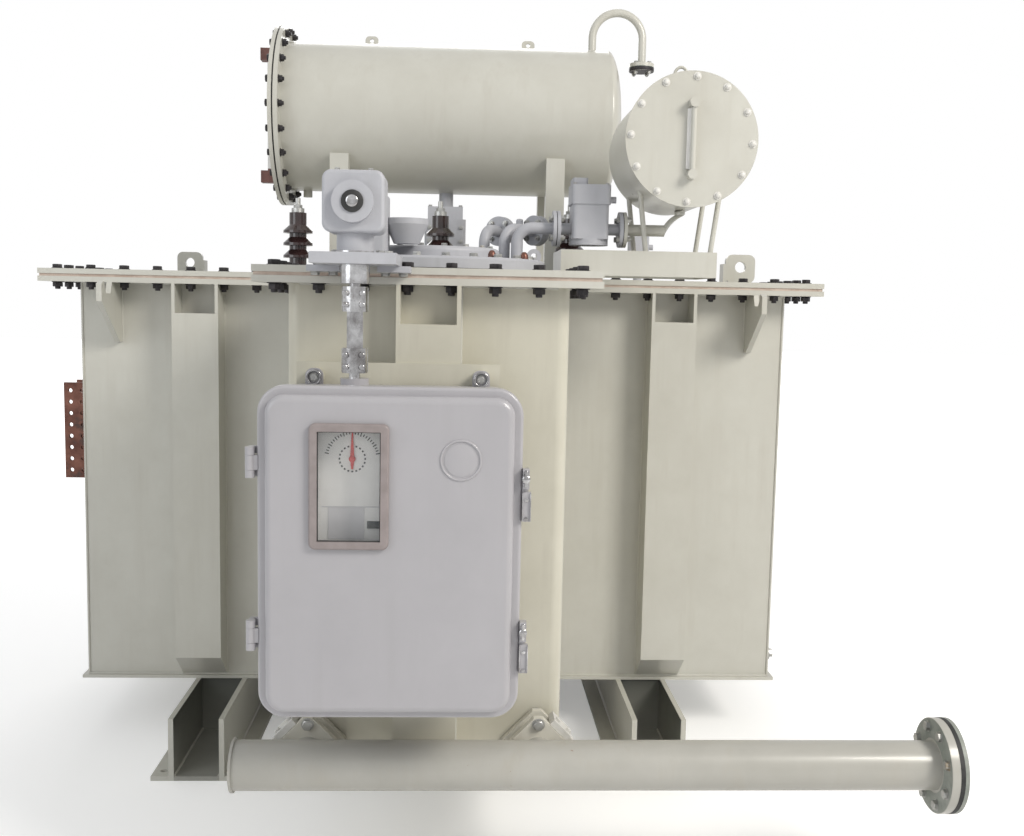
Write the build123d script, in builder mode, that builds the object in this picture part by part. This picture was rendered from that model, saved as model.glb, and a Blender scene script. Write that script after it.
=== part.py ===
from build123d import *
import math
import os

os.makedirs("parts", exist_ok=True)

# Skids: two plate webs on a base plate, running front to back
skid_height = 190.0
skid_reach = 375.0
skid_inset = 430.0
skid_base_width = 270.0
skid_base_plate = 14.0
skid_web = 16.0
skid_web_pitch = 148.0
foundation_hole = 22.0
foundation_inset = 40.0

# Tank: a wide main box with a deep bay in front, closed by one bolted cover
tank_width = 2240.0
tank_depth = 900.0
tank_wall = 8.0
tank_floor_plate = 10.0
tank_floor_ledge = 18.0
flange_underside = 1470.0
flange_overhang = 100.0
flange_plate = 16.0
gasket_plate = 8.0
gasket_inset = 4.0
cover_plate = 16.0
bay_width = 670.0
bay_reach = 932.0
bay_corner = 30.0
bay_overhang = 70.0
bay_floor_level = 250.0

# Box stiffeners, lifting hooks and cover lugs
stiffener_width = 142.0
stiffener_plate = 10.0
stiffener_inset = 374.0
stiffener_recess = 90.0
stiffener_bevel = 85.0
bay_stiffener_width = 150.0
hook_plate = 16.0
hook_inset = 116.0
hook_reach = 200.0
hook_drop = 185.0
lug_width = 96.0
lug_height = 92.0
lug_plate = 20.0
lug_hole = 36.0
lug_inset_x = 135.0
lug_inset_y = 50.0

# Main conservator, lying across the tank
conservator_diameter = 490.0
conservator_wall = 5.0
conservator_left = -511.0
conservator_right = 553.0
conservator_dome = 52.0
drain_boss_x = -454.0
conservator_y = -147.0
conservator_rise = 533.0
conservator_ring = 590.0
conservator_ring_plate = 14.0
conservator_gasket_plate = 5.0
conservator_cover_plate = 12.0
support_spread = 350.0
support_middle = 25.0
support_width = 60.0
support_depth = 50.0
support_offset = 195.0
support_foot = 110.0
support_foot_plate = 10.0
support_drop = 143.0
eye_spread = 264.0
breather_pipe_diameter = 26.9
breather_x = 508.0
breather_bend = 86.0
breather_up = 290.0
breather_down = 209.0
breather_flange = 84.0

# Gas relay between conservator and tank
outlet_x = 18.0
outlet_diameter = 48.3
relay_width = 136.0
relay_depth = 190.0
relay_rise = 90.0
relay_height = 102.0
relay_lid = 42.0
relay_offset = -68.0

# Tap changer head on the bay
head_reach = 362.0
head_diameter = 590.0
head_plate = 34.0
lid_diameter = 350.0
lid_height = 30.0
vent_radius = 10.0
vent_height = 124.0
vent_x = 236.0
vent_offset = 158.0
eye_x = 262.0
eye_offset = 90.0
eye_plate = 10.0
gearbox_offset = 242.0
gearbox_size = 96.0
drive_rise = 129.0
elbow_rise = 92.0
elbow_bend = 42.0
elbow_flange_radius = 42.0
elbow_flange_plate = 12.0
elbow_left = (137.0, 140.0, 62.0, 101.0)
elbow_right = (191.0, 80.0, 41.0, 122.0)
pipe_rise = 126.0
pipe_offset = 45.0
pipe_diameter = 31.0
riser_x = 223.0
relay_flange_diameter = 96.0
relay_flange_plate = 9.0
relay_flange_gap = 2.0
relay_flange_left = 320.0
relay_stub = 28.0
tap_relay_left = 366.0
tap_relay_width = 106.0
tap_relay_depth = 110.0
tap_relay_rise = 82.0
tap_relay_height = 177.0

# Small conservator of the tap changer, on its bracket
small_x = 660.0
small_rise = 349.0
small_pipe_offset = 8.0
small_diameter = 332.0
small_wall = 4.0
small_offset = 127.0
small_length = 350.0
small_ring = 344.0
small_cover_plate = 10.0
bracket_left = 340.0
bracket_right = 762.0
bracket_height = 68.0
bracket_offset = 15.0
bracket_depth = 250.0
bracket_plate = 6.0
rod_diameter = 14.0
rod_foot_spread = 88.0
rod_top_spread = 112.0
rod_rise = 255.0

# High voltage bushings on the cover
bushing_x = (-447.0, 5.0, 420.0)
bushing_offset = 283.0
bushing_core = 27.0
bushing_shed = 46.0
bushing_pitch = 39.0
bushing_sheds = 3
bushing_ring = 50.0
bushing_top = 192.0
stud_radius = 8.0
stud_length = 46.0

# Drive line from the cabinet up to the tap changer head
shaft_offset = -89.0
shaft_reach = 135.0
journal_radius = 12.5
running_clearance = 0.08
coupling_radius = 28.0
square_tube = 25.0
coupling_length = 54.0
lower_coupling_rise = 18.0
upper_coupling_drop = 7.0
journal_depth = 30.0
bevel_width = 132.0
bevel_depth = 112.0
bevel_rise = 65.0
bevel_height = 131.0
bevel_neck = 40.0
bevel_tube = 31.0
bevel_tube_drop = 41.0
bevel_boss = 44.0
bevel_plate_width = 184.0
bevel_plate_thick = 24.0
bevel_plate_inner = 52.0
bevel_plate_outer = 198.0

# Motor drive cabinet on the bay
cabinet_x = -67.0
cabinet_width = 550.0
cabinet_height = 707.0
cabinet_drop = 253.0
cabinet_standoff = 18.0
cabinet_body_depth = 242.0
cabinet_corner = 58.0
cabinet_wall = 4.0
cabinet_inset = 16.0
mounting_plate_width = 468.0
mounting_plate_rise = 33.0
mounting_plate_foot = 40.0
mounting_plate_thick = 8.0
ear_spread = 190.0
ear_foot = 70.0
ear_width = 40.0
ear_height = 60.0
ear_plate = 10.0
door_gap = 1.0
door_depth = 40.0
door_flange = 16.0
door_inset = 18.0
door_wall = 4.0
window_offset = -83.0
window_drop = 205.0
frame_width = 164.0
frame_height = 262.0
frame_bar = 17.0
frame_proud = 12.0
window_corner = 14.0
glass_plate = 4.0
panel_plate = 3.0
panel_recess = 46.0
indicator_depth = 24.0
dial_plate_thick = 2.0
hinge_offset = 15.0
hinge_reach = 12.0
hinge_drop = 161.0
hinge_rise = 179.0
hinge_height = 64.0
hinge_radius = 10.0
pin_radius = 5.0
hinge_gap = 0.5
latch_drop = 222.0
latch_rise = 158.0
latch_height = 112.0
latch_width = 18.0

# Header pipe hung on two valves in front of the bay
header_reach = 150.0
header_z = 357.0
header_diameter = 114.3
header_wall = 4.5
header_left = -432.0
header_cap = 6.0
header_cap_lip = 5.0
header_right = 1214.0
header_flange = 220.0
header_flange_plate = 20.0
header_gasket_plate = 6.0
header_blind_plate = 14.0
valve_spread = 275.0
valve_square = 136.0
valve_flange_plate = 20.0
valve_length = 70.0
valve_bore = 80.0
valve_pad = 112.0
valve_pad_length = 11.0

# Copper terminals on the left end
bar_plate = 10.0
bar_rise = 588.0
bar_height = 336.0
bar_reach = 186.0
bar_pitch = 130.0
bar_count = 3
bar_first_y = -97.0
bar_rows = 8
bar_row_pitch = 40.0
bar_column_pitch = 40.0
bar_hole = 14.0
bar_edge = 22.0
board_plate = 20.0
board_margin = 55.0

# Drain plug on the right end
drain_inset = 53.0
drain_rise = 62.0
drain_boss = 44.0
drain_length = 18.0

# Terminal box on a short pocket pipe, behind the bracket
box_x = 656.0
box_y = -350.0
box_width = 64.0
box_depth = 58.0
box_height = 58.0
box_rise = 90.0

# Levels and planes worked out from the sizes above
wall_foot = skid_height + tank_floor_plate
flange_top = flange_underside + flange_plate
cover_underside = flange_top + gasket_plate
cover_top = cover_underside + cover_plate
main_front = -tank_depth / 2
bay_front = main_front - bay_reach
bay_flange_front = bay_front - bay_overhang
half_width = tank_width / 2
skid_length = tank_depth + 2 * skid_reach
skid_spread = half_width - skid_inset
stiffener_spread = half_width - stiffener_inset
hook_spread = half_width - hook_inset
lug_x = half_width - lug_inset_x
lug_y = -main_front - lug_inset_y
conservator_z = cover_top + conservator_rise
support_top = conservator_z - support_drop
breather_rise = conservator_z + breather_up
breather_drop = conservator_z + breather_down
relay_floor = cover_top + relay_rise
relay_roof = relay_floor + relay_height
relay_y = conservator_y + relay_offset
head_top = cover_top + head_plate
head_y = bay_front + head_reach
gearbox_front = head_y - gearbox_offset
drive_level = cover_top + drive_rise
pipe_level = cover_top + pipe_rise
pipe_y = head_y + pipe_offset
tap_relay_right = tap_relay_left + tap_relay_width
tap_relay_floor = cover_top + tap_relay_rise
tap_relay_roof = tap_relay_floor + tap_relay_height
small_z = cover_top + small_rise
small_front = head_y - small_offset
bracket_front = head_y - bracket_offset
rod_top_level = cover_top + rod_rise
bushing_y = conservator_y - bushing_offset
shaft_x = cabinet_x + shaft_offset
shaft_y = bay_flange_front - shaft_reach
gearbox_x = shaft_x
bevel_floor = cover_top + bevel_rise
bevel_roof = bevel_floor + bevel_height
bevel_tube_bottom = cover_top - bevel_tube_drop
bevel_plate_back = bay_flange_front + bevel_plate_inner
bevel_plate_front = bay_flange_front - bevel_plate_outer
cabinet_top = cover_top - cabinet_drop
cabinet_bottom = cabinet_top - cabinet_height
cabinet_middle = (cabinet_bottom + cabinet_top) / 2
cabinet_back = bay_flange_front - mounting_plate_thick - cabinet_standoff
cabinet_front = cabinet_back - cabinet_body_depth
collar_top = cabinet_top + 6
lower_coupling = (cabinet_top + lower_coupling_rise, cabinet_top + lower_coupling_rise + coupling_length)
upper_coupling = (
    bevel_tube_bottom - upper_coupling_drop - coupling_length,
    bevel_tube_bottom - upper_coupling_drop,
)
mounting_plate_top = cabinet_top + mounting_plate_rise
mounting_plate_bottom = cabinet_bottom + mounting_plate_foot
window_x = cabinet_x + window_offset
window_z = cabinet_top - window_drop
hinge_x = cabinet_x - cabinet_width / 2 - hinge_offset
hinge_y = cabinet_front - hinge_reach
hinge_levels = (cabinet_bottom + hinge_rise, cabinet_top - hinge_drop)
latch_levels = (cabinet_bottom + latch_rise, cabinet_top - latch_drop)
header_y = bay_front - header_reach
bar_bottom = wall_foot + bar_rise
drain_y = main_front + drain_inset
drain_z = wall_foot + drain_rise


# The T-shaped plan of the tank, its wide box grown by one margin and its bay by another
def tank_plan(margin, bay_margin, mode=Mode.ADD):
    Rectangle(tank_width + 2 * margin, tank_depth + 2 * margin, mode=mode)
    front = bay_front - bay_margin
    with Locations((0, front / 2)):
        Rectangle(bay_width + 2 * bay_margin, -front, mode=mode)


# Skids
def skid_part(x):
    with BuildPart() as skid:
        with BuildSketch(Plane.XZ.offset(-skid_length / 2)):
            with Locations((x, skid_base_plate / 2)):
                Rectangle(skid_base_width, skid_base_plate)
            web_height = skid_height - skid_base_plate
            with Locations((x, skid_base_plate + web_height / 2)):
                with GridLocations(skid_web_pitch, 0, 2, 1):
                    Rectangle(skid_web, web_height)
        extrude(amount=skid_length)
        with Locations((x, 0, skid_base_plate + web_height / 2)):
            with GridLocations(0, tank_depth / 2, 1, 3):
                Box(skid_web_pitch - skid_web, skid_web, web_height)
        outer = math.copysign(skid_spread + skid_base_width / 2 - foundation_inset + 10, x)
        with Locations((outer, 0, skid_base_plate)):
            with GridLocations(0, skid_length - 2 * foundation_inset, 1, 2):
                Hole(foundation_hole / 2, skid_base_plate)
    return skid.part


with BuildPart() as skid_left:
    add(skid_part(-skid_spread))
with BuildPart() as skid_right:
    add(skid_part(skid_spread))

# Tank floor and the higher floor of the bay
with BuildPart() as tank_floor:
    with BuildSketch(Plane.XY.offset(skid_height)):
        Rectangle(tank_width + 2 * tank_floor_ledge, tank_depth + 2 * tank_floor_ledge)
    extrude(amount=tank_floor_plate)

with BuildPart() as bay_floor:
    with BuildSketch(Plane.XY.offset(bay_floor_level)):
        with Locations((0, main_front - bay_reach / 2)):
            Rectangle(bay_width + 2 * tank_wall, bay_reach)
        with Locations((0, bay_front - tank_wall / 2)):
            Rectangle(bay_width + 2 * tank_wall, tank_wall)
    extrude(amount=tank_floor_plate)

# Walls of the main box
wall_height = flange_underside - wall_foot
with BuildPart() as front_wall:
    with BuildSketch(Plane.XY.offset(wall_foot)):
        with Locations((0, main_front + tank_wall / 2)):
            Rectangle(tank_width, tank_wall)
    extrude(amount=wall_height)

with BuildPart() as rear_wall:
    with BuildSketch(Plane.XY.offset(wall_foot)):
        with Locations((0, -main_front - tank_wall / 2)):
            Rectangle(tank_width, tank_wall)
    extrude(amount=wall_height)

with BuildPart() as left_end_wall:
    with BuildSketch(Plane.XY.offset(wall_foot)):
        with Locations((-half_width + tank_wall / 2, 0)):
            Rectangle(tank_wall, tank_depth - 2 * tank_wall)
    extrude(amount=wall_height)

with BuildPart() as right_end_wall:
    with BuildSketch(Plane.XY.offset(wall_foot)):
        with Locations((half_width - tank_wall / 2, 0)):
            Rectangle(tank_wall, tank_depth - 2 * tank_wall)
    extrude(amount=wall_height)

# Bay wall: one plate bent round two corners
bay_wall_foot = bay_floor_level + tank_floor_plate
with BuildPart() as bay_wall:
    with BuildSketch(Plane.XY.offset(bay_wall_foot)):
        with Locations((0, main_front - bay_reach / 2)):
            Rectangle(bay_width, bay_reach)
    extrude(amount=flange_underside - bay_wall_foot)
    fillet(bay_wall.edges().filter_by(Axis.Z).group_by(Axis.Y)[0], bay_corner)
    with BuildSketch(Plane.XY.offset(bay_wall_foot)) as bay_inside:
        with Locations((0, main_front - (bay_reach - tank_wall) / 2)):
            Rectangle(bay_width - 2 * tank_wall, bay_reach - tank_wall)
        fillet(bay_inside.vertices().group_by(Axis.Y)[0], bay_corner - tank_wall)
    extrude(amount=flange_underside - bay_wall_foot, mode=Mode.SUBTRACT)

# Flange, gasket and cover
with BuildPart() as tank_flange:
    with BuildSketch(Plane.XY.offset(flange_underside)):
        tank_plan(flange_overhang, bay_overhang)
        tank_plan(-tank_wall, -tank_wall, mode=Mode.SUBTRACT)
    extrude(amount=flange_plate)

with BuildPart() as flange_gasket:
    with BuildSketch(Plane.XY.offset(flange_top)):
        tank_plan(flange_overhang - gasket_inset, bay_overhang - gasket_inset)
        tank_plan(-tank_wall, -tank_wall, mode=Mode.SUBTRACT)
    extrude(amount=gasket_plate)

with BuildPart() as tank_cover:
    with BuildSketch(Plane.XY.offset(cover_underside)):
        tank_plan(flange_overhang, bay_overhang)
    extrude(amount=cover_plate)


# A box stiffener against a wall: front plate, open recess under the flange, bevelled foot
def stiffener(x, wall_y, out, width, depth, foot, bevel):
    top = flange_underside
    with BuildPart() as box:
        with BuildSketch(Plane.YZ.offset(x - width / 2)):
            with BuildLine():
                Polyline(
                    (wall_y, foot),
                    (wall_y, top),
                    (wall_y + out * depth, top),
                    (wall_y + out * depth, foot + bevel),
                    close=True,
                )
            make_face()
        extrude(amount=width)
        recess_depth = depth - stiffener_plate
        with Locations((x, wall_y + out * (stiffener_plate + recess_depth / 2), top - stiffener_recess / 2)):
            Box(width - 2 * stiffener_plate, recess_depth, stiffener_recess, mode=Mode.SUBTRACT)
    return box.part


with BuildPart() as wing_stiffeners:
    for x in (-stiffener_spread, stiffener_spread):
        add(stiffener(x, main_front, -1, stiffener_width, flange_overhang, wall_foot, stiffener_bevel))
        add(stiffener(x, -main_front, 1, stiffener_width, flange_overhang, wall_foot, stiffener_bevel))

with BuildPart() as bay_stiffener:
    foot = bay_floor_level + tank_floor_plate
    add(stiffener(0, bay_front, -1, bay_stiffener_width, bay_overhang, foot, 0.0))


# A lifting hook: a plate square to the wall with a nose and a sling notch outside the flange
def hook(x, out):
    with BuildPart() as plate:
        with BuildSketch(Plane.YZ.offset(x - hook_plate / 2)):
            with BuildLine():
                Polyline(
                    (out * -main_front, flange_underside),
                    (out * (-main_front + flange_overhang), flange_underside),
                    (out * (-main_front + flange_overhang + 14), flange_underside - 34),
                    (out * (-main_front + hook_reach - 44), flange_underside - 34),
                    (out * (-main_front + hook_reach - 22), flange_underside + 4),
                    (out * (-main_front + hook_reach), flange_underside - 6),
                    (out * (-main_front + hook_reach), flange_underside - 58),
                    (out * (-main_front + 28), flange_underside - hook_drop),
                    (out * -main_front, flange_underside - hook_drop),
                    close=True,
                )
            make_face()
        extrude(amount=hook_plate)
    return plate.part


with BuildPart() as lifting_hooks:
    for x in (-hook_spread, hook_spread):
        add(hook(x, -1))
        add(hook(x, 1))

# Two lugs on the cover, set corner to corner
with BuildPart() as cover_lugs:
    for side in (-1, 1):
        with BuildSketch(Plane.XZ.offset(side * lug_y - lug_plate / 2)):
            with Locations((side * lug_x, cover_top + lug_height / 2)):
                lug = Rectangle(lug_width, lug_height)
            fillet(lug.vertices().group_by(Axis.Z)[-1], 22)
            with Locations((side * lug_x, cover_top + lug_height * 0.56)):
                Circle(lug_hole / 2, mode=Mode.SUBTRACT)
        extrude(amount=lug_plate)
        with Locations((side * (lug_x - lug_width / 2 - 6), -side * lug_y, cover_top + lug_height * 0.33)):
            Box(12, 52, lug_height * 0.66)

# Main conservator: shell with a ring flange, gasket, cover and level gauge
conservator_radius = conservator_diameter / 2
ring_left = conservator_left - conservator_ring_plate
shell_plane = Plane(origin=(0, conservator_y, conservator_z), x_dir=(1, 0, 0), z_dir=(0, -1, 0))
with BuildPart() as conservator_shell:
    with BuildSketch(shell_plane):
        with BuildLine():
            inner_radius = conservator_radius - conservator_wall
            inner_dome = conservator_dome - conservator_wall
            Line((conservator_left, conservator_radius), (conservator_right, conservator_radius))
            EllipticalCenterArc((conservator_right, 0), conservator_dome, conservator_radius, 0, arc_size=90)
            Line((conservator_right + conservator_dome, 0), (conservator_right + inner_dome, 0))
            EllipticalCenterArc((conservator_right, 0), inner_dome, inner_radius, 0, arc_size=90)
            Line((conservator_right, inner_radius), (conservator_left, inner_radius))
            Line((conservator_left, inner_radius), (conservator_left, conservator_radius))
        make_face()
    revolve(axis=Axis((0, conservator_y, conservator_z), (1, 0, 0)))
    with BuildSketch(Plane.YZ.offset(ring_left)):
        with Locations((conservator_y, conservator_z)):
            Circle(conservator_ring / 2)
            Circle(conservator_radius - conservator_wall, mode=Mode.SUBTRACT)
    extrude(amount=conservator_ring_plate)
    eye_level = conservator_z + conservator_radius
    with BuildSketch(Plane.XZ.offset(-conservator_y - 5)):
        for x in (support_middle - eye_spread, support_middle + eye_spread):
            with Locations((x, eye_level + 8)):
                RectangleRounded(44, 40, 14)
            with Locations((x, eye_level + 13)):
                Circle(7, mode=Mode.SUBTRACT)
    extrude(amount=10)
    with Locations((drain_boss_x, conservator_y, conservator_z - conservator_radius - 10)):
        Cylinder(15, 24)

with BuildPart() as conservator_gasket:
    with BuildSketch(Plane.YZ.offset(ring_left - conservator_gasket_plate)):
        with Locations((conservator_y, conservator_z)):
            Circle(conservator_ring / 2 - gasket_inset)
            Circle(conservator_radius - conservator_wall, mode=Mode.SUBTRACT)
    extrude(amount=conservator_gasket_plate)

cover_left = ring_left - conservator_gasket_plate - conservator_cover_plate
with BuildPart() as conservator_cover:
    with BuildSketch(Plane.YZ.offset(cover_left)):
        with Locations((conservator_y, conservator_z)):
            Circle(conservator_ring / 2)
    extrude(amount=conservator_cover_plate)

gauge_reach = 68.0
gauge_spread = 202.0
with BuildPart() as conservator_gauge:
    for side in (-1, 1):
        with Locations((cover_left - gauge_reach / 2, conservator_y, conservator_z + side * gauge_spread)):
            Box(gauge_reach, 40, 40)
    with Locations((cover_left - gauge_reach / 2 + 2, conservator_y, conservator_z)):
        Box(26, 34, 2 * gauge_spread - 40)

# Four posts whose heads follow the shell
with BuildPart() as conservator_supports:
    for x in (support_middle - support_spread, support_middle + support_spread):
        for side in (-1, 1):
            post_y = conservator_y + side * support_offset
            with Locations((x, post_y, (cover_top + support_top) / 2)):
                Box(support_width, support_depth, support_top - cover_top)
            with Locations((x, post_y, cover_top + support_foot_plate / 2)):
                Box(support_foot, support_depth + 10, support_foot_plate)
    with Locations(Location((support_middle, conservator_y, conservator_z), (0, 90, 0))):
        Cylinder(conservator_radius, 2 * (support_spread + support_width), mode=Mode.SUBTRACT)

# Breather: a swan-neck pipe ending in a small flange pair
with BuildPart() as breather:
    pipe_foot = conservator_z + conservator_radius - 2
    with BuildLine() as route:
        riser = Line((breather_x, conservator_y, pipe_foot), (breather_x, conservator_y, breather_rise))
        bend = ThreePointArc(
            riser @ 1,
            (breather_x + breather_bend, conservator_y, breather_rise + breather_bend),
            (breather_x + 2 * breather_bend, conservator_y, breather_rise),
        )
        Line(bend @ 1, (breather_x + 2 * breather_bend, conservator_y, breather_drop))
    with BuildSketch(Plane(origin=riser @ 0, z_dir=(0, 0, 1))):
        Circle(breather_pipe_diameter / 2)
    sweep(path=route.wire())
    with Locations(Location((breather_x, conservator_y, conservator_z), (0, 90, 0))):
        Cylinder(conservator_radius, 2 * breather_pipe_diameter, mode=Mode.SUBTRACT)
    with Locations((breather_x + 2 * breather_bend, conservator_y, breather_drop - 6)):
        Cylinder(breather_flange / 2, 12)
    with Locations((breather_x + 2 * breather_bend, conservator_y, breather_drop - 20)):
        Cylinder(breather_flange / 2, 12)
    with Locations((breather_x + 2 * breather_bend, conservator_y, breather_drop - 13)):
        Cylinder(breather_flange / 2 - 4, 6)

# Gas relay and its pipes
with BuildPart() as main_relay:
    with Locations((outlet_x, relay_y, (relay_floor + relay_roof) / 2)):
        Box(relay_width, relay_depth, relay_roof - relay_floor)
    fillet(main_relay.edges().filter_by(Axis.Z), 14)
    with Locations((outlet_x, relay_y, relay_roof + relay_lid / 2)):
        Box(relay_width - 20, relay_depth - 36, relay_lid)
    with Locations((outlet_x, relay_y, (cover_top + relay_floor) / 2)):
        Cylinder(outlet_diameter / 2, relay_floor - cover_top)
    with Locations((outlet_x, relay_y, cover_top + 7)):
        Cylinder(60, 14)
    outlet_top = conservator_z - conservator_radius
    with Locations((outlet_x, conservator_y, (relay_roof + relay_lid + outlet_top) / 2)):
        Cylinder(outlet_diameter / 2, outlet_top - relay_roof - relay_lid + 8)
    with Locations(Location((outlet_x, conservator_y, conservator_z), (0, 90, 0))):
        Cylinder(conservator_radius, 2 * outlet_diameter, mode=Mode.SUBTRACT)

# Tap changer head: a disc flange and its bolted lid
with BuildPart() as tap_head:
    with Locations((0, head_y, cover_top + head_plate / 2)):
        Cylinder(head_diameter / 2, head_plate)
    chamfer(tap_head.edges().group_by(Axis.Z)[-1], 6)
    with Locations((vent_x, head_y + vent_offset, head_top + vent_height / 2)):
        Cylinder(vent_radius, vent_height)
    fillet(tap_head.faces().sort_by(Axis.Z)[-1].edges(), vent_radius * 0.6)
    with BuildSketch(Plane.XZ.offset(-head_y + eye_offset)):
        with Locations((eye_x, head_top + eye_plate)):
            Circle(19)
            Circle(8, mode=Mode.SUBTRACT)
    extrude(amount=eye_plate)

with BuildPart() as tap_lid:
    with Locations((0, head_y, head_top + lid_height / 2)):
        Cylinder(lid_diameter / 2, lid_height)
    fillet(tap_lid.edges().group_by(Axis.Z)[-1], 12)

# Head gearbox: worm housing with the bowl beside it
with BuildPart() as head_gearbox:
    bowl_foot = head_top + lid_height
    gearbox_roof = drive_level + gearbox_size / 2
    with Locations((gearbox_x, gearbox_front + gearbox_size / 2, (head_top + gearbox_roof) / 2)):
        Box(gearbox_size, gearbox_size, gearbox_roof - head_top)
    fillet(head_gearbox.edges().filter_by(Axis.Z), 16)
    with BuildSketch(Plane.XZ.offset(-gearbox_front - gearbox_size / 2)):
        with BuildLine():
            Polyline(
                (gearbox_x + 92, bowl_foot),
                (gearbox_x + 92, bowl_foot + 62),
                (gearbox_x + 146, bowl_foot + 62),
                (gearbox_x + 146, bowl_foot + 48),
                (gearbox_x + 124, bowl_foot),
                close=True,
            )
        make_face()
    bowl_axis = Axis((gearbox_x + 92, gearbox_front + gearbox_size / 2, 0), (0, 0, 1))
    revolve(axis=bowl_axis)
    with Locations(Location((gearbox_x, gearbox_front - 8, drive_level), (90, 0, 0))):
        Cylinder(bevel_tube, 16)
    with Locations(Location((gearbox_x, gearbox_front - 16 + journal_depth / 2, drive_level), (90, 0, 0))):
        Cylinder(journal_radius + running_clearance, journal_depth, mode=Mode.SUBTRACT)


# A pipe that rises from the head, bends level and ends at a flange
def fan_pipe(x, y, turn, reach, flange):
    heading = Vector(math.cos(math.radians(turn)), math.sin(math.radians(turn)), 0)
    foot = Vector(x, y, head_top)
    corner = Vector(x, y, pipe_level)
    with BuildPart() as pipe:
        with BuildLine() as route:
            riser = Line(foot, corner - Vector(0, 0, elbow_bend))
            knee = corner + (heading - Vector(0, 0, 1)) * elbow_bend * (1 - math.sqrt(0.5))
            bend = ThreePointArc(riser @ 1, knee, corner + heading * elbow_bend)
            Line(bend @ 1, corner + heading * reach)
        with BuildSketch(Plane(origin=foot, z_dir=(0, 0, 1))):
            Circle(pipe_diameter / 2)
        sweep(path=route.wire())
        if flange:
            with BuildSketch(Plane(origin=corner + heading * reach, z_dir=heading)):
                Circle(elbow_flange_radius)
            extrude(amount=elbow_flange_plate)
            with BuildSketch(Plane(origin=corner + heading * (reach - elbow_flange_plate - 1), z_dir=heading)):
                Circle(elbow_flange_radius)
            extrude(amount=elbow_flange_plate)
    return pipe.part


# Two of them fan out backwards, each closed by a blank flange
with BuildPart() as head_elbows:
    for x, offset, turn, reach in (elbow_left, elbow_right):
        add(fan_pipe(x, head_y + offset, turn, reach, True))

# The third runs through the relay of the tap changer, between two flange pairs
relay_flange_right = tap_relay_right + relay_stub
relay_middle = tap_relay_left + tap_relay_width / 2
with BuildPart() as tap_relay:
    add(fan_pipe(riser_x, pipe_y, 0.0, relay_flange_left - riser_x, False))
    lid_drop = 69.0
    lid_floor = tap_relay_roof - lid_drop
    with Locations((relay_middle, pipe_y, (tap_relay_floor + 16 + lid_floor) / 2)):
        Box(tap_relay_width - 8, tap_relay_depth - 8, lid_floor - tap_relay_floor - 16)
    fillet(tap_relay.edges().filter_by(Axis.Z).filter_by(lambda e: e.length > 80), 12)
    with BuildSketch(Plane.XY.offset(lid_floor)):
        with Locations((relay_middle, pipe_y)):
            RectangleRounded(tap_relay_width, tap_relay_depth, 12)
    extrude(amount=lid_drop - 17)
    with BuildSketch(Plane.XY.offset(tap_relay_roof - 17)):
        with Locations((tap_relay_left + 24, pipe_y)):
            RectangleRounded(40, tap_relay_depth - 16, 8)
    extrude(amount=17)
    with Locations((relay_middle, pipe_y, tap_relay_floor + 9)):
        Cylinder(tap_relay_width / 2, 18)
    for start, end in (
        (relay_flange_left + relay_flange_plate, tap_relay_left + 8),
        (tap_relay_right - 8, relay_flange_right + relay_flange_gap / 2),
    ):
        with Locations(Location(((start + end) / 2, pipe_y, pipe_level), (0, 90, 0))):
            Cylinder(pipe_diameter / 2, end - start)
    for x in (relay_flange_left, relay_flange_left + relay_flange_plate + relay_flange_gap, relay_flange_right):
        with Locations(Location((x + relay_flange_plate / 2, pipe_y, pipe_level), (0, 90, 0))):
            Cylinder(relay_flange_diameter / 2, relay_flange_plate)
    with Locations(Location((tap_relay_right + 10, pipe_y, lid_floor + 16), (0, 90, 0))):
        Cylinder(9, 20)

# Pipe from the relay to the small conservator
small_radius = small_diameter / 2
small_pipe_x = small_x + small_pipe_offset
with BuildPart() as relay_pipe:
    flange_x = relay_flange_right + relay_flange_plate + relay_flange_gap
    with BuildLine() as route:
        level_run = Line((flange_x, pipe_y, pipe_level), (small_pipe_x - elbow_bend, pipe_y, pipe_level))
        turn = RadiusArc(level_run @ 1, (small_pipe_x, pipe_y, pipe_level + elbow_bend), -elbow_bend)
        Line(turn @ 1, (small_pipe_x, pipe_y, small_z - small_radius + 2))
    with BuildSketch(Plane(origin=level_run @ 0, z_dir=(1, 0, 0))):
        Circle(pipe_diameter / 2)
    sweep(path=route.wire())
    with Locations(Location((flange_x + relay_flange_plate / 2, pipe_y, pipe_level), (0, 90, 0))):
        Cylinder(relay_flange_diameter / 2, relay_flange_plate)

# Small conservator
small_back = small_front + small_cover_plate + small_length
with BuildPart() as small_shell:
    with BuildSketch(Plane.XZ.offset(-small_back)):
        with Locations((small_x, small_z)):
            Circle(small_radius)
    extrude(amount=small_length)
    with BuildSketch(Plane.XZ.offset(-small_back + small_wall)):
        with Locations((small_x, small_z)):
            Circle(small_radius - small_wall)
    extrude(amount=small_length, mode=Mode.SUBTRACT)

with BuildPart() as small_cover:
    with BuildSketch(Plane.XZ.offset(-small_front - small_cover_plate)):
        with Locations((small_x, small_z)):
            Circle(small_ring / 2)
    extrude(amount=small_cover_plate)

with BuildPart() as small_gauge:
    for side in (-1, 1):
        with Locations(Location((small_x, small_front - 14, small_z + side * 90), (90, 0, 0))):
            Cylinder(13, 28)
    with Locations((small_x, small_front - 17, small_z)):
        Cylinder(7, 180 - 26)
    with Locations((small_x - 9, small_front - 3, small_z)):
        Box(10, 6, 150)

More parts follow.
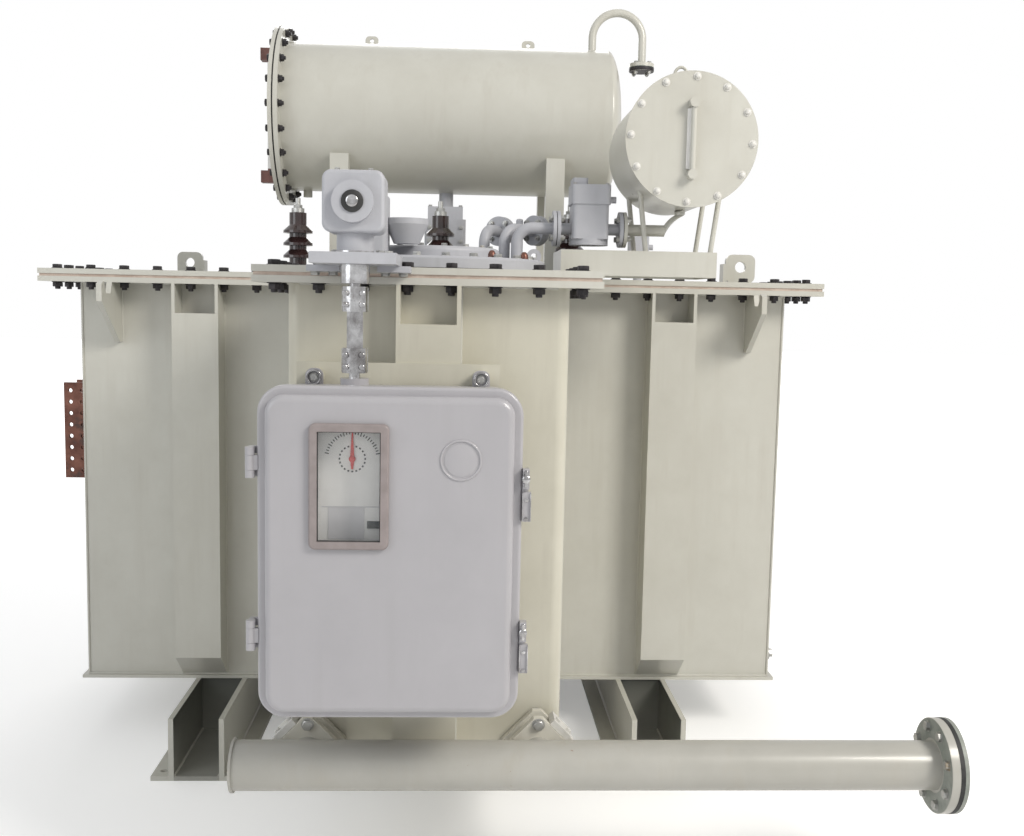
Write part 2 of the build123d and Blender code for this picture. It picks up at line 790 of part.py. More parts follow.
# Bracket channel and four flared rods that carry the small conservator
with BuildPart() as small_stand:
    bracket_middle = (bracket_left + bracket_right) / 2
    bracket_y = bracket_front + bracket_depth / 2
    with Locations((bracket_middle, bracket_y, cover_top + bracket_height / 2)):
        Box(bracket_right - bracket_left, bracket_depth, bracket_height)
    with Locations((bracket_middle, bracket_y, cover_top + (bracket_height - bracket_plate) / 2)):
        inner_length = bracket_right - bracket_left - 2 * bracket_plate
        Box(inner_length, bracket_depth - 2 * bracket_plate, bracket_height - bracket_plate, mode=Mode.SUBTRACT)
    for side in (-1, 1):
        for rod_y in (bracket_front + 25, bracket_front + bracket_depth - 25):
            foot = Vector(small_x + side * rod_foot_spread, rod_y, cover_top + bracket_height - 3)
            head = Vector(small_x + side * rod_top_spread, rod_y, rod_top_level)
            with BuildSketch(Plane(origin=foot, z_dir=head - foot)):
                Circle(rod_diameter / 2)
            extrude(amount=(head - foot).length)
    with Locations(Location((small_x, small_back - small_length / 2, small_z), (90, 0, 0))):
        Cylinder(small_radius, small_length + 40, mode=Mode.SUBTRACT)

# High voltage bushings: porcelain with sheds, clamp ring and stud
porcelain_foot = cover_top + 8
with BuildPart() as bushings:
    for x in bushing_x:
        with BuildSketch(Plane.XZ.offset(-bushing_y)):
            with Locations((x, porcelain_foot)):
                with Locations((bushing_core / 2, (bushing_top - 8) / 2)):
                    Rectangle(bushing_core, bushing_top - 8)
            for index in range(bushing_sheds):
                level = porcelain_foot + 48 + index * bushing_pitch
                with BuildLine():
                    Polyline(
                        (x, level),
                        (x + bushing_core, level),
                        (x + bushing_shed, level - 6),
                        (x + bushing_shed, level + 2),
                        (x + bushing_core, level + 20),
                        (x, level + 20),
                        close=True,
                    )
                make_face()
        revolve(axis=Axis((x, bushing_y, 0), (0, 0, 1)))

with BuildPart() as bushing_fittings:
    for x in bushing_x:
        with Locations((x, bushing_y, cover_top + 4)):
            Cylinder(bushing_ring, 8)
        with Locations((x, bushing_y, cover_top + bushing_top + 7)):
            Cylinder(20, 14)
        with Locations((x, bushing_y, cover_top + bushing_top + stud_length / 2)):
            Cylinder(stud_radius, stud_length)

# Bevel gear box on its bracket plate
plate_bottom = cover_top
plate_top = plate_bottom + bevel_plate_thick
bevel_y_back = shaft_y + bevel_depth / 2
bevel_y_front = shaft_y - bevel_depth / 2
with BuildPart() as bevel_bracket:
    with BuildSketch(Plane.XY.offset(plate_bottom)):
        with Locations((shaft_x, (bevel_plate_back + bevel_plate_front) / 2)):
            Rectangle(bevel_plate_width, bevel_plate_back - bevel_plate_front)
        with Locations((shaft_x, shaft_y)):
            Circle(bevel_tube + 0.2, mode=Mode.SUBTRACT)
    extrude(amount=bevel_plate_thick)
    arm_front = bay_flange_front - 62
    with Locations((shaft_x, (bay_flange_front - 1 + arm_front) / 2, plate_bottom - 7)):
        with GridLocations(158, 0, 2, 1):
            Box(74, bay_flange_front - 1 - arm_front, 14)

with BuildPart() as bevel_gear:
    with Locations((shaft_x, shaft_y, (bevel_floor + bevel_roof) / 2)):
        Box(bevel_width, bevel_depth, bevel_roof - bevel_floor)
    fillet(bevel_gear.edges().filter_by(Axis.Y), 20)
    fillet(bevel_gear.edges().filter_by(Axis.Z), 8)
    with Locations((shaft_x, shaft_y, (plate_top + bevel_floor) / 2)):
        Cylinder(bevel_neck, bevel_floor - plate_top)
    with Locations((shaft_x, shaft_y, (bevel_tube_bottom + plate_top) / 2)):
        Cylinder(bevel_tube, plate_top - bevel_tube_bottom)
    with Locations(Location((shaft_x, bevel_y_front - 9, drive_level), (90, 0, 0))):
        Cylinder(bevel_boss, 18)
    with Locations(Location((shaft_x, bevel_y_back + 8, drive_level), (90, 0, 0))):
        Cylinder(bevel_tube, 16)
    with Locations((shaft_x, shaft_y, bevel_tube_bottom + journal_depth / 2)):
        Cylinder(journal_radius + running_clearance, journal_depth, mode=Mode.SUBTRACT)
    with Locations(Location((shaft_x, bevel_y_back + 16 - journal_depth / 2, drive_level), (90, 0, 0))):
        Cylinder(journal_radius + running_clearance, journal_depth, mode=Mode.SUBTRACT)

# Upright drive shaft: journals, two clamp couplings and a square tube
journal_reach = journal_depth - 4
with BuildPart() as drive_shaft:
    low, high = lower_coupling[0], upper_coupling[1]
    journal_low = collar_top - journal_reach + 4
    journal_high = bevel_tube_bottom + journal_reach
    with Locations((shaft_x, shaft_y, (journal_low + low) / 2)):
        Cylinder(journal_radius, low - journal_low)
    with Locations((shaft_x, shaft_y, (journal_high + high) / 2)):
        Cylinder(journal_radius, journal_high - high)
    for bottom, top in (lower_coupling, upper_coupling):
        with Locations((shaft_x, shaft_y, (bottom + top) / 2)):
            Cylinder(coupling_radius, top - bottom)
    with Locations(Location((shaft_x, shaft_y, (lower_coupling[1] + upper_coupling[0]) / 2), (0, 0, 45))):
        Box(square_tube, square_tube, upper_coupling[0] - lower_coupling[1])

# Level drive shaft from the bevel gear to the head gearbox
cross_front = bevel_y_back + 16
cross_back = gearbox_front - 16
cross_gap = 6.0
cross_coupling = 50.0
with BuildPart() as cross_shaft:
    for start, end, radius in (
        (cross_front - journal_reach, cross_front + cross_gap, journal_radius),
        (cross_front + cross_gap, cross_front + cross_gap + cross_coupling, coupling_radius),
        (cross_back - cross_gap - cross_coupling, cross_back - cross_gap, coupling_radius),
        (cross_back - cross_gap, cross_back + journal_reach, journal_radius),
    ):
        with Locations(Location((shaft_x, (start + end) / 2, drive_level), (90, 0, 0))):
            Cylinder(radius, end - start)
    tube_start = cross_front + cross_gap + cross_coupling
    tube_end = cross_back - cross_gap - cross_coupling
    with Locations(Location((shaft_x, (tube_start + tube_end) / 2, drive_level), (0, 45, 0))):
        Box(square_tube, tube_end - tube_start, square_tube)

# Mounting plate with spacers behind the cabinet
with BuildPart() as mounting_plate:
    plate_middle = (mounting_plate_bottom + mounting_plate_top) / 2
    with Locations((cabinet_x, bay_flange_front - mounting_plate_thick / 2, plate_middle)):
        Box(mounting_plate_width, mounting_plate_thick, mounting_plate_top - mounting_plate_bottom)
    spacer_front = bay_flange_front - mounting_plate_thick
    for x in (cabinet_x - ear_spread, cabinet_x + ear_spread):
        for level in (cabinet_bottom + ear_foot, cabinet_top):
            with Locations(Location((x, spacer_front - cabinet_standoff / 2, level), (90, 0, 0))):
                Cylinder(ear_width / 2, cabinet_standoff)

# Cabinet housing: a rounded shell, open in front
body_width = cabinet_width - 2 * cabinet_inset
body_height = cabinet_height - 2 * cabinet_inset
with BuildPart() as cabinet_housing:
    with BuildSketch(Plane.XZ.offset(-cabinet_back)):
        with Locations((cabinet_x, cabinet_middle)):
            RectangleRounded(body_width, body_height, cabinet_corner - cabinet_inset)
    extrude(amount=cabinet_body_depth)
    with BuildSketch(Plane.XZ.offset(-cabinet_front - 14)):
        with Locations((cabinet_x, cabinet_middle)):
            RectangleRounded(cabinet_width, cabinet_height, cabinet_corner)
    extrude(amount=14)
    with BuildSketch(Plane.XZ.offset(-cabinet_back + cabinet_wall)):
        with Locations((cabinet_x, cabinet_middle)):
            inner_corner = cabinet_corner - cabinet_inset - cabinet_wall
            RectangleRounded(body_width - 2 * cabinet_wall, body_height - 2 * cabinet_wall, inner_corner)
    extrude(amount=cabinet_body_depth, mode=Mode.SUBTRACT)
    with BuildSketch(Plane.XZ.offset(-cabinet_back)):
        for x in (cabinet_x - ear_spread, cabinet_x + ear_spread):
            with Locations((x, cabinet_top + ear_width / 2 - ear_height / 2)):
                RectangleRounded(ear_width, ear_height, ear_width / 2 - 4)
    extrude(amount=ear_plate)
    collar_foot = cabinet_top - cabinet_inset
    with Locations((shaft_x, shaft_y, (collar_foot + collar_top) / 2)):
        Cylinder(bevel_tube, collar_top - collar_foot)
    with Locations((shaft_x, shaft_y, collar_top - journal_depth / 2)):
        Cylinder(journal_radius + running_clearance, journal_depth + 8, mode=Mode.SUBTRACT)
    for level in hinge_levels:
        for side in (-1, 1):
            knuckle = level + side * (hinge_height / 2 - 8)
            with Locations((hinge_x, hinge_y, knuckle)):
                Cylinder(hinge_radius, 16)
            with Locations((hinge_x, (hinge_y + cabinet_front + 14) / 2 + 2, knuckle)):
                Box(10, cabinet_front + 14 - hinge_y - 4, 16)
            with Locations((hinge_x + 7, cabinet_front + 9, knuckle)):
                Box(24, 10, 16)
        with Locations((hinge_x, hinge_y, level)):
            Cylinder(pin_radius, hinge_height)
    keeper_x = cabinet_x + cabinet_width / 2 + latch_width / 2
    for level in latch_levels:
        with Locations((keeper_x - 2, cabinet_front + 8, level)):
            Box(latch_width - 4, 12, 40)

# Panel that closes the mechanism, with the indicator block behind the window
panel_y = cabinet_front + panel_recess
with BuildPart() as inner_panel:
    with BuildSketch(Plane.XZ.offset(-panel_y)):
        with Locations((cabinet_x, cabinet_middle)):
            inner_corner = cabinet_corner - cabinet_inset - cabinet_wall
            RectangleRounded(body_width - 2 * cabinet_wall, body_height - 2 * cabinet_wall, inner_corner)
    extrude(amount=panel_plate)
    with Locations((window_x, panel_y - panel_plate - indicator_depth / 2, window_z)):
        Box(frame_width, indicator_depth, frame_height)

with BuildPart() as dial_plate:
    dial_y = panel_y - panel_plate - indicator_depth
    with Locations((window_x, dial_y - dial_plate_thick / 2, window_z)):
        Box(frame_width - 6, dial_plate_thick, frame_height - 6)

# Door: a hollow pan with a window, hung on the left
door_back = cabinet_front - door_gap
door_front = door_back - door_depth
pan_width = cabinet_width - 2 * door_inset
pan_height = cabinet_height - 2 * door_inset
pan_corner = cabinet_corner - door_inset
with BuildPart() as cabinet_door:
    with BuildSketch(Plane.XZ.offset(-door_back)):
        with Locations((cabinet_x, cabinet_middle)):
            RectangleRounded(cabinet_width, cabinet_height, cabinet_corner)
    extrude(amount=door_flange)
    fillet(cabinet_door.faces().sort_by(Axis.Y)[0].edges(), 7)
    with BuildSketch(Plane.XZ.offset(-door_back)):
        with Locations((cabinet_x, cabinet_middle)):
            RectangleRounded(pan_width, pan_height, pan_corner)
    extrude(amount=door_depth)
    fillet(cabinet_door.faces().sort_by(Axis.Y)[0].edges(), 15)
    with BuildSketch(Plane.XZ.offset(-door_back)):
        with Locations((cabinet_x, cabinet_middle)):
            RectangleRounded(pan_width - 24, pan_height - 24, pan_corner - 12)
    extrude(amount=door_depth - door_wall, mode=Mode.SUBTRACT)
    with BuildSketch(Plane.XZ.offset(-door_back)):
        with Locations((window_x, window_z)):
            Rectangle(frame_width - 2 * frame_bar, frame_height - 2 * frame_bar)
    extrude(amount=door_depth, mode=Mode.SUBTRACT)
    for level in hinge_levels:
        middle = hinge_height - 32 - 2 * hinge_gap
        with Locations((hinge_x, hinge_y, level)):
            Cylinder(hinge_radius, middle)
        door_edge = cabinet_x - cabinet_width / 2
        with Locations(((hinge_x + door_edge) / 2 + 1, hinge_y, level)):
            Box(door_edge - hinge_x + 2, 10, middle)
        with Locations((hinge_x, hinge_y, level)):
            Cylinder(pin_radius + running_clearance, middle, mode=Mode.SUBTRACT)
    for level in latch_levels:
        with Locations((keeper_x - latch_width / 2 + 4, door_back - 12, level)):
            Box(8, 10, latch_height)
        with Locations((keeper_x - 2, door_back - 18, level + latch_height / 2 - 21)):
            Box(14, 22, 42)
        with Locations((keeper_x, door_back - 16, level - latch_height / 2 + 31)):
            Box(latch_width, 12, 62)

with BuildPart() as window_frame:
    with BuildSketch(Plane.XZ.offset(-door_front)):
        with Locations((window_x, window_z)):
            RectangleRounded(frame_width, frame_height, window_corner)
            Rectangle(frame_width - 2 * frame_bar, frame_height - 2 * frame_bar, mode=Mode.SUBTRACT)
    extrude(amount=frame_proud)
    fillet(window_frame.faces().sort_by(Axis.Y)[0].outer_wire().edges(), 5)

with BuildPart() as window_glass:
    with Locations((window_x, door_front + door_wall / 2, window_z)):
        Box(frame_width - 2 * frame_bar, glass_plate, frame_height - 2 * frame_bar)

# Header pipe with its welded flange, gasket and blind flange
with BuildPart() as header_pipe:
    with BuildSketch(Plane.YZ.offset(header_left)):
        with Locations((header_y, header_z)):
            Circle(header_diameter / 2)
    extrude(amount=header_right - header_left)
    with BuildSketch(Plane.YZ.offset(header_left - header_cap)):
        with Locations((header_y, header_z)):
            Circle(header_diameter / 2 + header_cap_lip)
    extrude(amount=header_cap)
    with BuildSketch(Plane.YZ.offset(header_right)):
        with Locations((header_y, header_z)):
            Circle(header_flange / 2)
    extrude(amount=header_flange_plate)
    for x in (-valve_spread, valve_spread):
        branch_end = bay_front - valve_pad_length - valve_length
        with Locations(Location((x, (header_y + branch_end) / 2, header_z), (90, 0, 0))):
            Cylinder(valve_bore / 2, branch_end - header_y)
    with BuildSketch(Plane.YZ.offset(header_left + 8)):
        with Locations((header_y, header_z)):
            Circle(header_diameter / 2 - header_wall)
    extrude(amount=header_right + header_flange_plate - header_left - 8, mode=Mode.SUBTRACT)

gasket_x = header_right + header_flange_plate
with BuildPart() as header_gasket:
    with BuildSketch(Plane.YZ.offset(gasket_x)):
        with Locations((header_y, header_z)):
            Circle(header_flange / 2 - 2)
            Circle(header_diameter / 2 - header_wall, mode=Mode.SUBTRACT)
    extrude(amount=header_gasket_plate)

with BuildPart() as header_blind:
    with BuildSketch(Plane.YZ.offset(gasket_x + header_gasket_plate)):
        with Locations((header_y, header_z)):
            Circle(header_flange / 2)
    extrude(amount=header_blind_plate)

# Valves between bay and header: two clipped square flanges on a round body
with BuildPart() as header_valves:
    for x in (-valve_spread, valve_spread):
        valve_back = bay_front - valve_pad_length
        with Locations(Location((x, bay_front - valve_pad_length / 2, header_z), (90, 0, 0))):
            Cylinder(valve_pad / 2, valve_pad_length)
        with Locations(Location((x, valve_back - valve_length / 2, header_z), (90, 0, 0))):
            Cylinder(valve_bore / 2 + 12, valve_length)
        for start in (valve_back, valve_back - valve_length + valve_flange_plate):
            with BuildSketch(Plane.XZ.offset(-start)):
                with Locations(Location((x, header_z, 0), (0, 0, 45))):
                    square = Rectangle(valve_square, valve_square)
                chamfer(square.vertices(), 16)
            extrude(amount=valve_flange_plate)

# Copper terminal bars in their board
with BuildPart() as copper_bars:
    for index in range(bar_count):
        bar_y = bar_first_y + index * bar_pitch
        with BuildSketch(Plane.XZ.offset(-bar_y - bar_plate / 2)):
            with Locations((-half_width - bar_reach / 2, bar_bottom + bar_height / 2)):
                Rectangle(bar_reach, bar_height)
            hole_x = -half_width - bar_reach + bar_edge + bar_column_pitch / 2
            with Locations((hole_x, bar_bottom + bar_height / 2)):
                with GridLocations(bar_column_pitch, bar_row_pitch, 2, bar_rows):
                    Circle(bar_hole / 2, mode=Mode.SUBTRACT)
        extrude(amount=bar_plate)

board_length = (bar_count - 1) * bar_pitch + 2 * board_margin
board_y = bar_first_y + (bar_count - 1) * bar_pitch / 2
with BuildPart() as terminal_board:
    with Locations((-half_width - board_plate / 2, board_y, bar_bottom + bar_height / 2)):
        Box(board_plate, board_length, bar_height + 2 * board_margin)
    with Locations((-half_width - board_plate / 2, board_y, bar_bottom + bar_height / 2)):
        with GridLocations(0, bar_pitch, 1, bar_count):
            Box(board_plate, bar_plate, bar_height, mode=Mode.SUBTRACT)

# Drain plug
with BuildPart() as drain_plug:
    with Locations(Location((half_width + drain_length / 2, drain_y, drain_z), (0, 90, 0))):
        Cylinder(drain_boss / 2, drain_length)
    with BuildSketch(Plane.YZ.offset(half_width + drain_length)):
        with Locations((drain_y, drain_z)):
            RegularPolygon(14, 6)
    extrude(amount=12)

# Terminal box with its cable gland on a pocket pipe
with BuildPart() as terminal_box:
    box_floor = cover_top + box_rise
    with Locations((box_x, box_y, (cover_top + box_floor) / 2)):
        Cylinder(14, box_rise)
    with BuildSketch(Plane.XY.offset(box_floor)):
        with Locations((box_x, box_y)):
            RectangleRounded(box_width, box_depth, 6)
    extrude(amount=box_height)
    fillet(terminal_box.faces().sort_by(Axis.Z)[-1].edges(), 3)
    with Locations(Location((box_x + box_width / 2 + 8, box_y, box_floor + 22), (0, 90, 0))):
        Cylinder(9, 16)

nodes = {
    "skid_left": skid_left,
    "skid_right": skid_right,
    "tank_floor": tank_floor,
    "bay_floor": bay_floor,
    "front_wall": front_wall,
    "rear_wall": rear_wall,
    "left_end_wall": left_end_wall,
    "right_end_wall": right_end_wall,
    "bay_wall": bay_wall,
    "tank_flange": tank_flange,
    "flange_gasket": flange_gasket,
    "tank_cover": tank_cover,
    "wing_stiffeners": wing_stiffeners,
    "bay_stiffener": bay_stiffener,
    "lifting_hooks": lifting_hooks,
    "cover_lugs": cover_lugs,
    "conservator_shell": conservator_shell,
    "conservator_gasket": conservator_gasket,
    "conservator_cover": conservator_cover,
    "conservator_gauge": conservator_gauge,
    "conservator_supports": conservator_supports,
    "breather": breather,
    "main_relay": main_relay,
    "tap_head": tap_head,
    "tap_lid": tap_lid,
    "head_gearbox": head_gearbox,
    "head_elbows": head_elbows,
    "tap_relay": tap_relay,
    "relay_pipe": relay_pipe,
    "small_shell": small_shell,
    "small_cover": small_cover,
    "small_gauge": small_gauge,
    "small_stand": small_stand,
    "bushings": bushings,
    "bushing_fittings": bushing_fittings,
    "bevel_bracket": bevel_bracket,
    "bevel_gear": bevel_gear,
    "drive_shaft": drive_shaft,
    "cross_shaft": cross_shaft,
    "mounting_plate": mounting_plate,
    "cabinet_housing": cabinet_housing,
    "inner_panel": inner_panel,
    "dial_plate": dial_plate,
    "cabinet_door": cabinet_door,
    "window_frame": window_frame,
    "window_glass": window_glass,
    "header_pipe": header_pipe,
    "header_gasket": header_gasket,
    "header_blind": header_blind,
    "header_valves": header_valves,
    "copper_bars": copper_bars,
    "terminal_board": terminal_board,
    "drain_plug": drain_plug,
    "terminal_box": terminal_box,
}
for node, built in nodes.items():
    built.part.label = node
    export_step(built.part, f"parts/{node}.step")
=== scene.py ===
import bpy
import bmesh
import math
from mathutils import Matrix, Vector


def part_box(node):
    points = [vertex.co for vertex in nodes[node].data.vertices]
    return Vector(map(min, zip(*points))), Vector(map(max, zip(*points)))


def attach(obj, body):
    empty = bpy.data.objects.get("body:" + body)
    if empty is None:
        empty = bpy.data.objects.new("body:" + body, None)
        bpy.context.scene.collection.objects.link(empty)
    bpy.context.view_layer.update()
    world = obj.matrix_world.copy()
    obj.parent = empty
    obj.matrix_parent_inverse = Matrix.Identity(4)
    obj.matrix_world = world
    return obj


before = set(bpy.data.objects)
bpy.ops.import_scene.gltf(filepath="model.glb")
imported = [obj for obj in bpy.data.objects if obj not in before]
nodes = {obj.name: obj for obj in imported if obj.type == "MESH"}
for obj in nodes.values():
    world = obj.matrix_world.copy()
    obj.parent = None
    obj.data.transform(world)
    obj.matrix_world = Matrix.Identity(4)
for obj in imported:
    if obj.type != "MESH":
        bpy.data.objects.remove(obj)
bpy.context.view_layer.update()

scene = bpy.context.scene
print("frame loaded:", len(nodes), "nodes")


# One socket of a shader tree; Python operators on it add the nodes that do the sum
class Field:
    def __init__(self, tree, socket):
        self.tree = tree
        self.socket = socket

    def put(self, target, value):
        if isinstance(value, Field):
            self.tree.links.new(value.socket, target)
        elif isinstance(value, (tuple, list)) and len(value) == 3 and len(target.default_value) == 4:
            target.default_value = (*value, 1.0)
        else:
            target.default_value = value

    def node(self, kind, settings=None, inputs=None, out=0):
        made = self.tree.nodes.new(kind)
        for key, value in (settings or {}).items():
            setattr(made, key, value)
        for key, value in (inputs or {}).items():
            self.put(made.inputs[key], value)
        return Field(self.tree, made.outputs[out])

    def math(self, operation, *values):
        return self.node("ShaderNodeMath", {"operation": operation}, dict(enumerate(values)))

    def __add__(self, other): return self.math("ADD", self, other)
    def __radd__(self, other): return self.math("ADD", other, self)
    def __sub__(self, other): return self.math("SUBTRACT", self, other)
    def __rsub__(self, other): return self.math("SUBTRACT", other, self)
    def __mul__(self, other): return self.math("MULTIPLY", self, other)
    def __rmul__(self, other): return self.math("MULTIPLY", other, self)
    def __truediv__(self, other): return self.math("DIVIDE", self, other)

    def size(self):
        return self.math("ABSOLUTE", self)

    def clamp(self):
        return self.math("MINIMUM", self.math("MAXIMUM", self, 0.0), 1.0)

    def above(self, level, soft):
        return ((self - level) / soft).clamp()

    def mix(self, first, second):
        return self.node("ShaderNodeMix", {"data_type": "RGBA"}, {0: self, 6: first, 7: second}, out=2)

    def scaled(self, scale):
        return self.node("ShaderNodeMapping", None, {"Vector": self, "Scale": scale})

    def noise(self, scale, detail=3.0, roughness=0.55):
        inputs = {"Vector": self, "Scale": scale, "Detail": detail, "Roughness": roughness}
        return self.node("ShaderNodeTexNoise", None, inputs)

    def part(self, axis):
        return self.node("ShaderNodeSeparateXYZ", None, {0: self}, out="XYZ".index(axis))


# A material and its principled shader; place is the point in the object's own frame
class Finish:
    def __init__(self, name):
        self.material = bpy.data.materials.new(name)
        self.material.use_nodes = True
        tree = self.material.node_tree
        self.shader = tree.nodes["Principled BSDF"]
        start = Field(tree, self.shader.outputs[0])
        self.place = start.node("ShaderNodeTexCoord", out=3)

    def set(self, **values):
        for name, value in values.items():
            target = self.shader.inputs[name.replace("_", " ")]
            self.place.put(target, value)
        return self

    def bump(self, height, strength, distance):
        inputs = {"Height": height, "Strength": strength, "Distance": distance}
        self.set(Normal=self.place.node("ShaderNodeBump", None, inputs))
        return self


# Old paint: two tones in clouds, streaks of dirt and a few chips; a skid gets painted shade between its webs
def paintFinish(name, look):
    f = Finish(name)
    p = f.place
    broad = p.noise(1.7, 4.0, 0.6)
    cloud = p.noise(9.0, 5.0, 0.65)
    peel = p.noise(look["peel"], 2.0, 0.5)
    streak = p.scaled((26.0, 26.0, 1.6)).noise(1.0, 4.0, 0.6)
    tone = (broad * 0.6 + cloud * 0.4).above(0.36, 0.30)
    colour = tone.mix(look["low"], look["high"])
    dirt = (streak * cloud * 2.1).above(0.56, 0.34) * look["dirt"]
    colour = dirt.mix(colour, look["grime"])
    chips = p.noise(38.0, 6.0, 0.7).above(look["chipLevel"], 0.02) * broad.above(0.5, 0.1)
    colour = chips.mix(colour, look["chip"])
    if "inside" in look:
        middle, half = look["inside"]
        # Painted shade inside the skid's channel between its webs, darker towards the top where the tank shades it
        shadeBetweenWebs = 1.0 - (p.part("X").size() - middle).size().above(half, 0.0008)
        colour = (shadeBetweenWebs * (p.part("Z") * 3.0 + 0.45).clamp()).mix(colour, look["shade"])
    f.set(Base_Color=colour, Roughness=look["rough"] + cloud * 0.16 + chips * 0.25)
    f.set(Coat_Weight=look.get("coat", 0.0), Coat_Roughness=0.12)
    f.bump(peel * 0.35 + cloud * 0.3 - chips, look["relief"], 0.0012)
    return f.material


# The bay's, the pipes' and the skids' paint starts from the tank's
tankLook = {
    "low": (0.495, 0.485, 0.432), "high": (0.565, 0.560, 0.508), "grime": (0.37, 0.34, 0.28),
    "chip": (0.25, 0.15, 0.10), "dirt": 0.20, "rough": 0.23, "peel": 210.0, "relief": 0.10, "chipLevel": 0.735,
    "coat": 0.28,
}
bayLook = {
    **tankLook, "low": (0.515, 0.495, 0.408), "high": (0.590, 0.570, 0.480), "dirt": 0.26,
}
pipeLook = {
    **tankLook, "low": (0.375, 0.366, 0.330), "high": (0.440, 0.432, 0.395), "dirt": 0.34, "chipLevel": 0.70,
}
skidLook = {
    # Painted shade between the webs: inside is the middle of the gap between them from the centre line, and its half
    # width
    **tankLook, "coat": 0.0, "inside": (0.690, 0.0664), "shade": (0.085, 0.090, 0.078),
}
cabinetLook = {
    "low": (0.370, 0.362, 0.380), "high": (0.415, 0.406, 0.426), "grime": (0.27, 0.26, 0.26),
    "chip": (0.30, 0.28, 0.28), "dirt": 0.12, "rough": 0.24, "peel": 320.0, "relief": 0.12, "chipLevel": 0.80,
    "coat": 0.35,
}
castingLook = {
    "low": (0.405, 0.410, 0.440), "high": (0.490, 0.495, 0.525), "grime": (0.20, 0.20, 0.20),
    "chip": (0.42, 0.42, 0.43), "dirt": 0.22, "rough": 0.36, "peel": 260.0, "relief": 0.35, "chipLevel": 0.77,
}
valveLook = {
    "low": (0.56, 0.54, 0.46), "high": (0.68, 0.66, 0.59), "grime": (0.34, 0.31, 0.24),
    "chip": (0.25, 0.16, 0.10), "dirt": 0.4, "rough": 0.34, "peel": 210.0, "relief": 0.3, "chipLevel": 0.72,
}


def metalFinish(name, look):
    f = Finish(name)
    p = f.place
    cloud = p.noise(look["cloud"], 5.0, 0.65)
    fine = p.noise(look["grain"], 3.0, 0.6)
    colour = cloud.above(0.35, 0.3).mix(look["low"], look["high"])
    stain = p.noise(14.0, 6.0, 0.7).above(look["stainLevel"], 0.08)
    colour = stain.mix(colour, look["stain"])
    rough = look["rough"] + fine * 0.2 + stain * 0.2
    f.set(Base_Color=colour, Metallic=look["metal"] - stain * 0.4, Roughness=rough)
    f.bump(fine, look["relief"], 0.0006)
    return f.material


zincLook = {
    "low": (0.40, 0.40, 0.39), "high": (0.56, 0.56, 0.54), "stain": (0.33, 0.27, 0.19), "metal": 0.85,
    "cloud": 40.0, "grain": 420.0, "rough": 0.28, "relief": 0.2, "stainLevel": 0.60,
}
blackLook = {
    "low": (0.030, 0.028, 0.032), "high": (0.060, 0.055, 0.058), "stain": (0.12, 0.075, 0.05), "metal": 0.45,
    "cloud": 60.0, "grain": 500.0, "rough": 0.36, "relief": 0.2, "stainLevel": 0.66,
}
copperLook = {
    "low": (0.12, 0.052, 0.040), "high": (0.24, 0.110, 0.080), "stain": (0.085, 0.050, 0.042), "metal": 0.7,
    "cloud": 16.0, "grain": 260.0, "rough": 0.30, "relief": 0.25, "stainLevel": 0.53,
}
brightLook = {
    "low": (0.30, 0.29, 0.29), "high": (0.74, 0.74, 0.75), "stain": (0.20, 0.18, 0.17), "metal": 1.0,
    "cloud": 22.0, "grain": 300.0, "rough": 0.10, "relief": 0.12, "stainLevel": 0.60,
}


def plainFinish(name, look):
    f = Finish(name)
    cloud = f.place.noise(look["cloud"], 4.0, 0.6)
    fine = f.place.noise(look["grain"], 3.0, 0.6)
    colour = cloud.above(0.35, 0.3).mix(look["low"], look["high"])
    f.set(Base_Color=colour, Roughness=look["rough"] + fine * 0.15)
    f.set(**look.get("extra", {}))
    f.bump(fine, look["relief"], 0.0006)
    return f.material


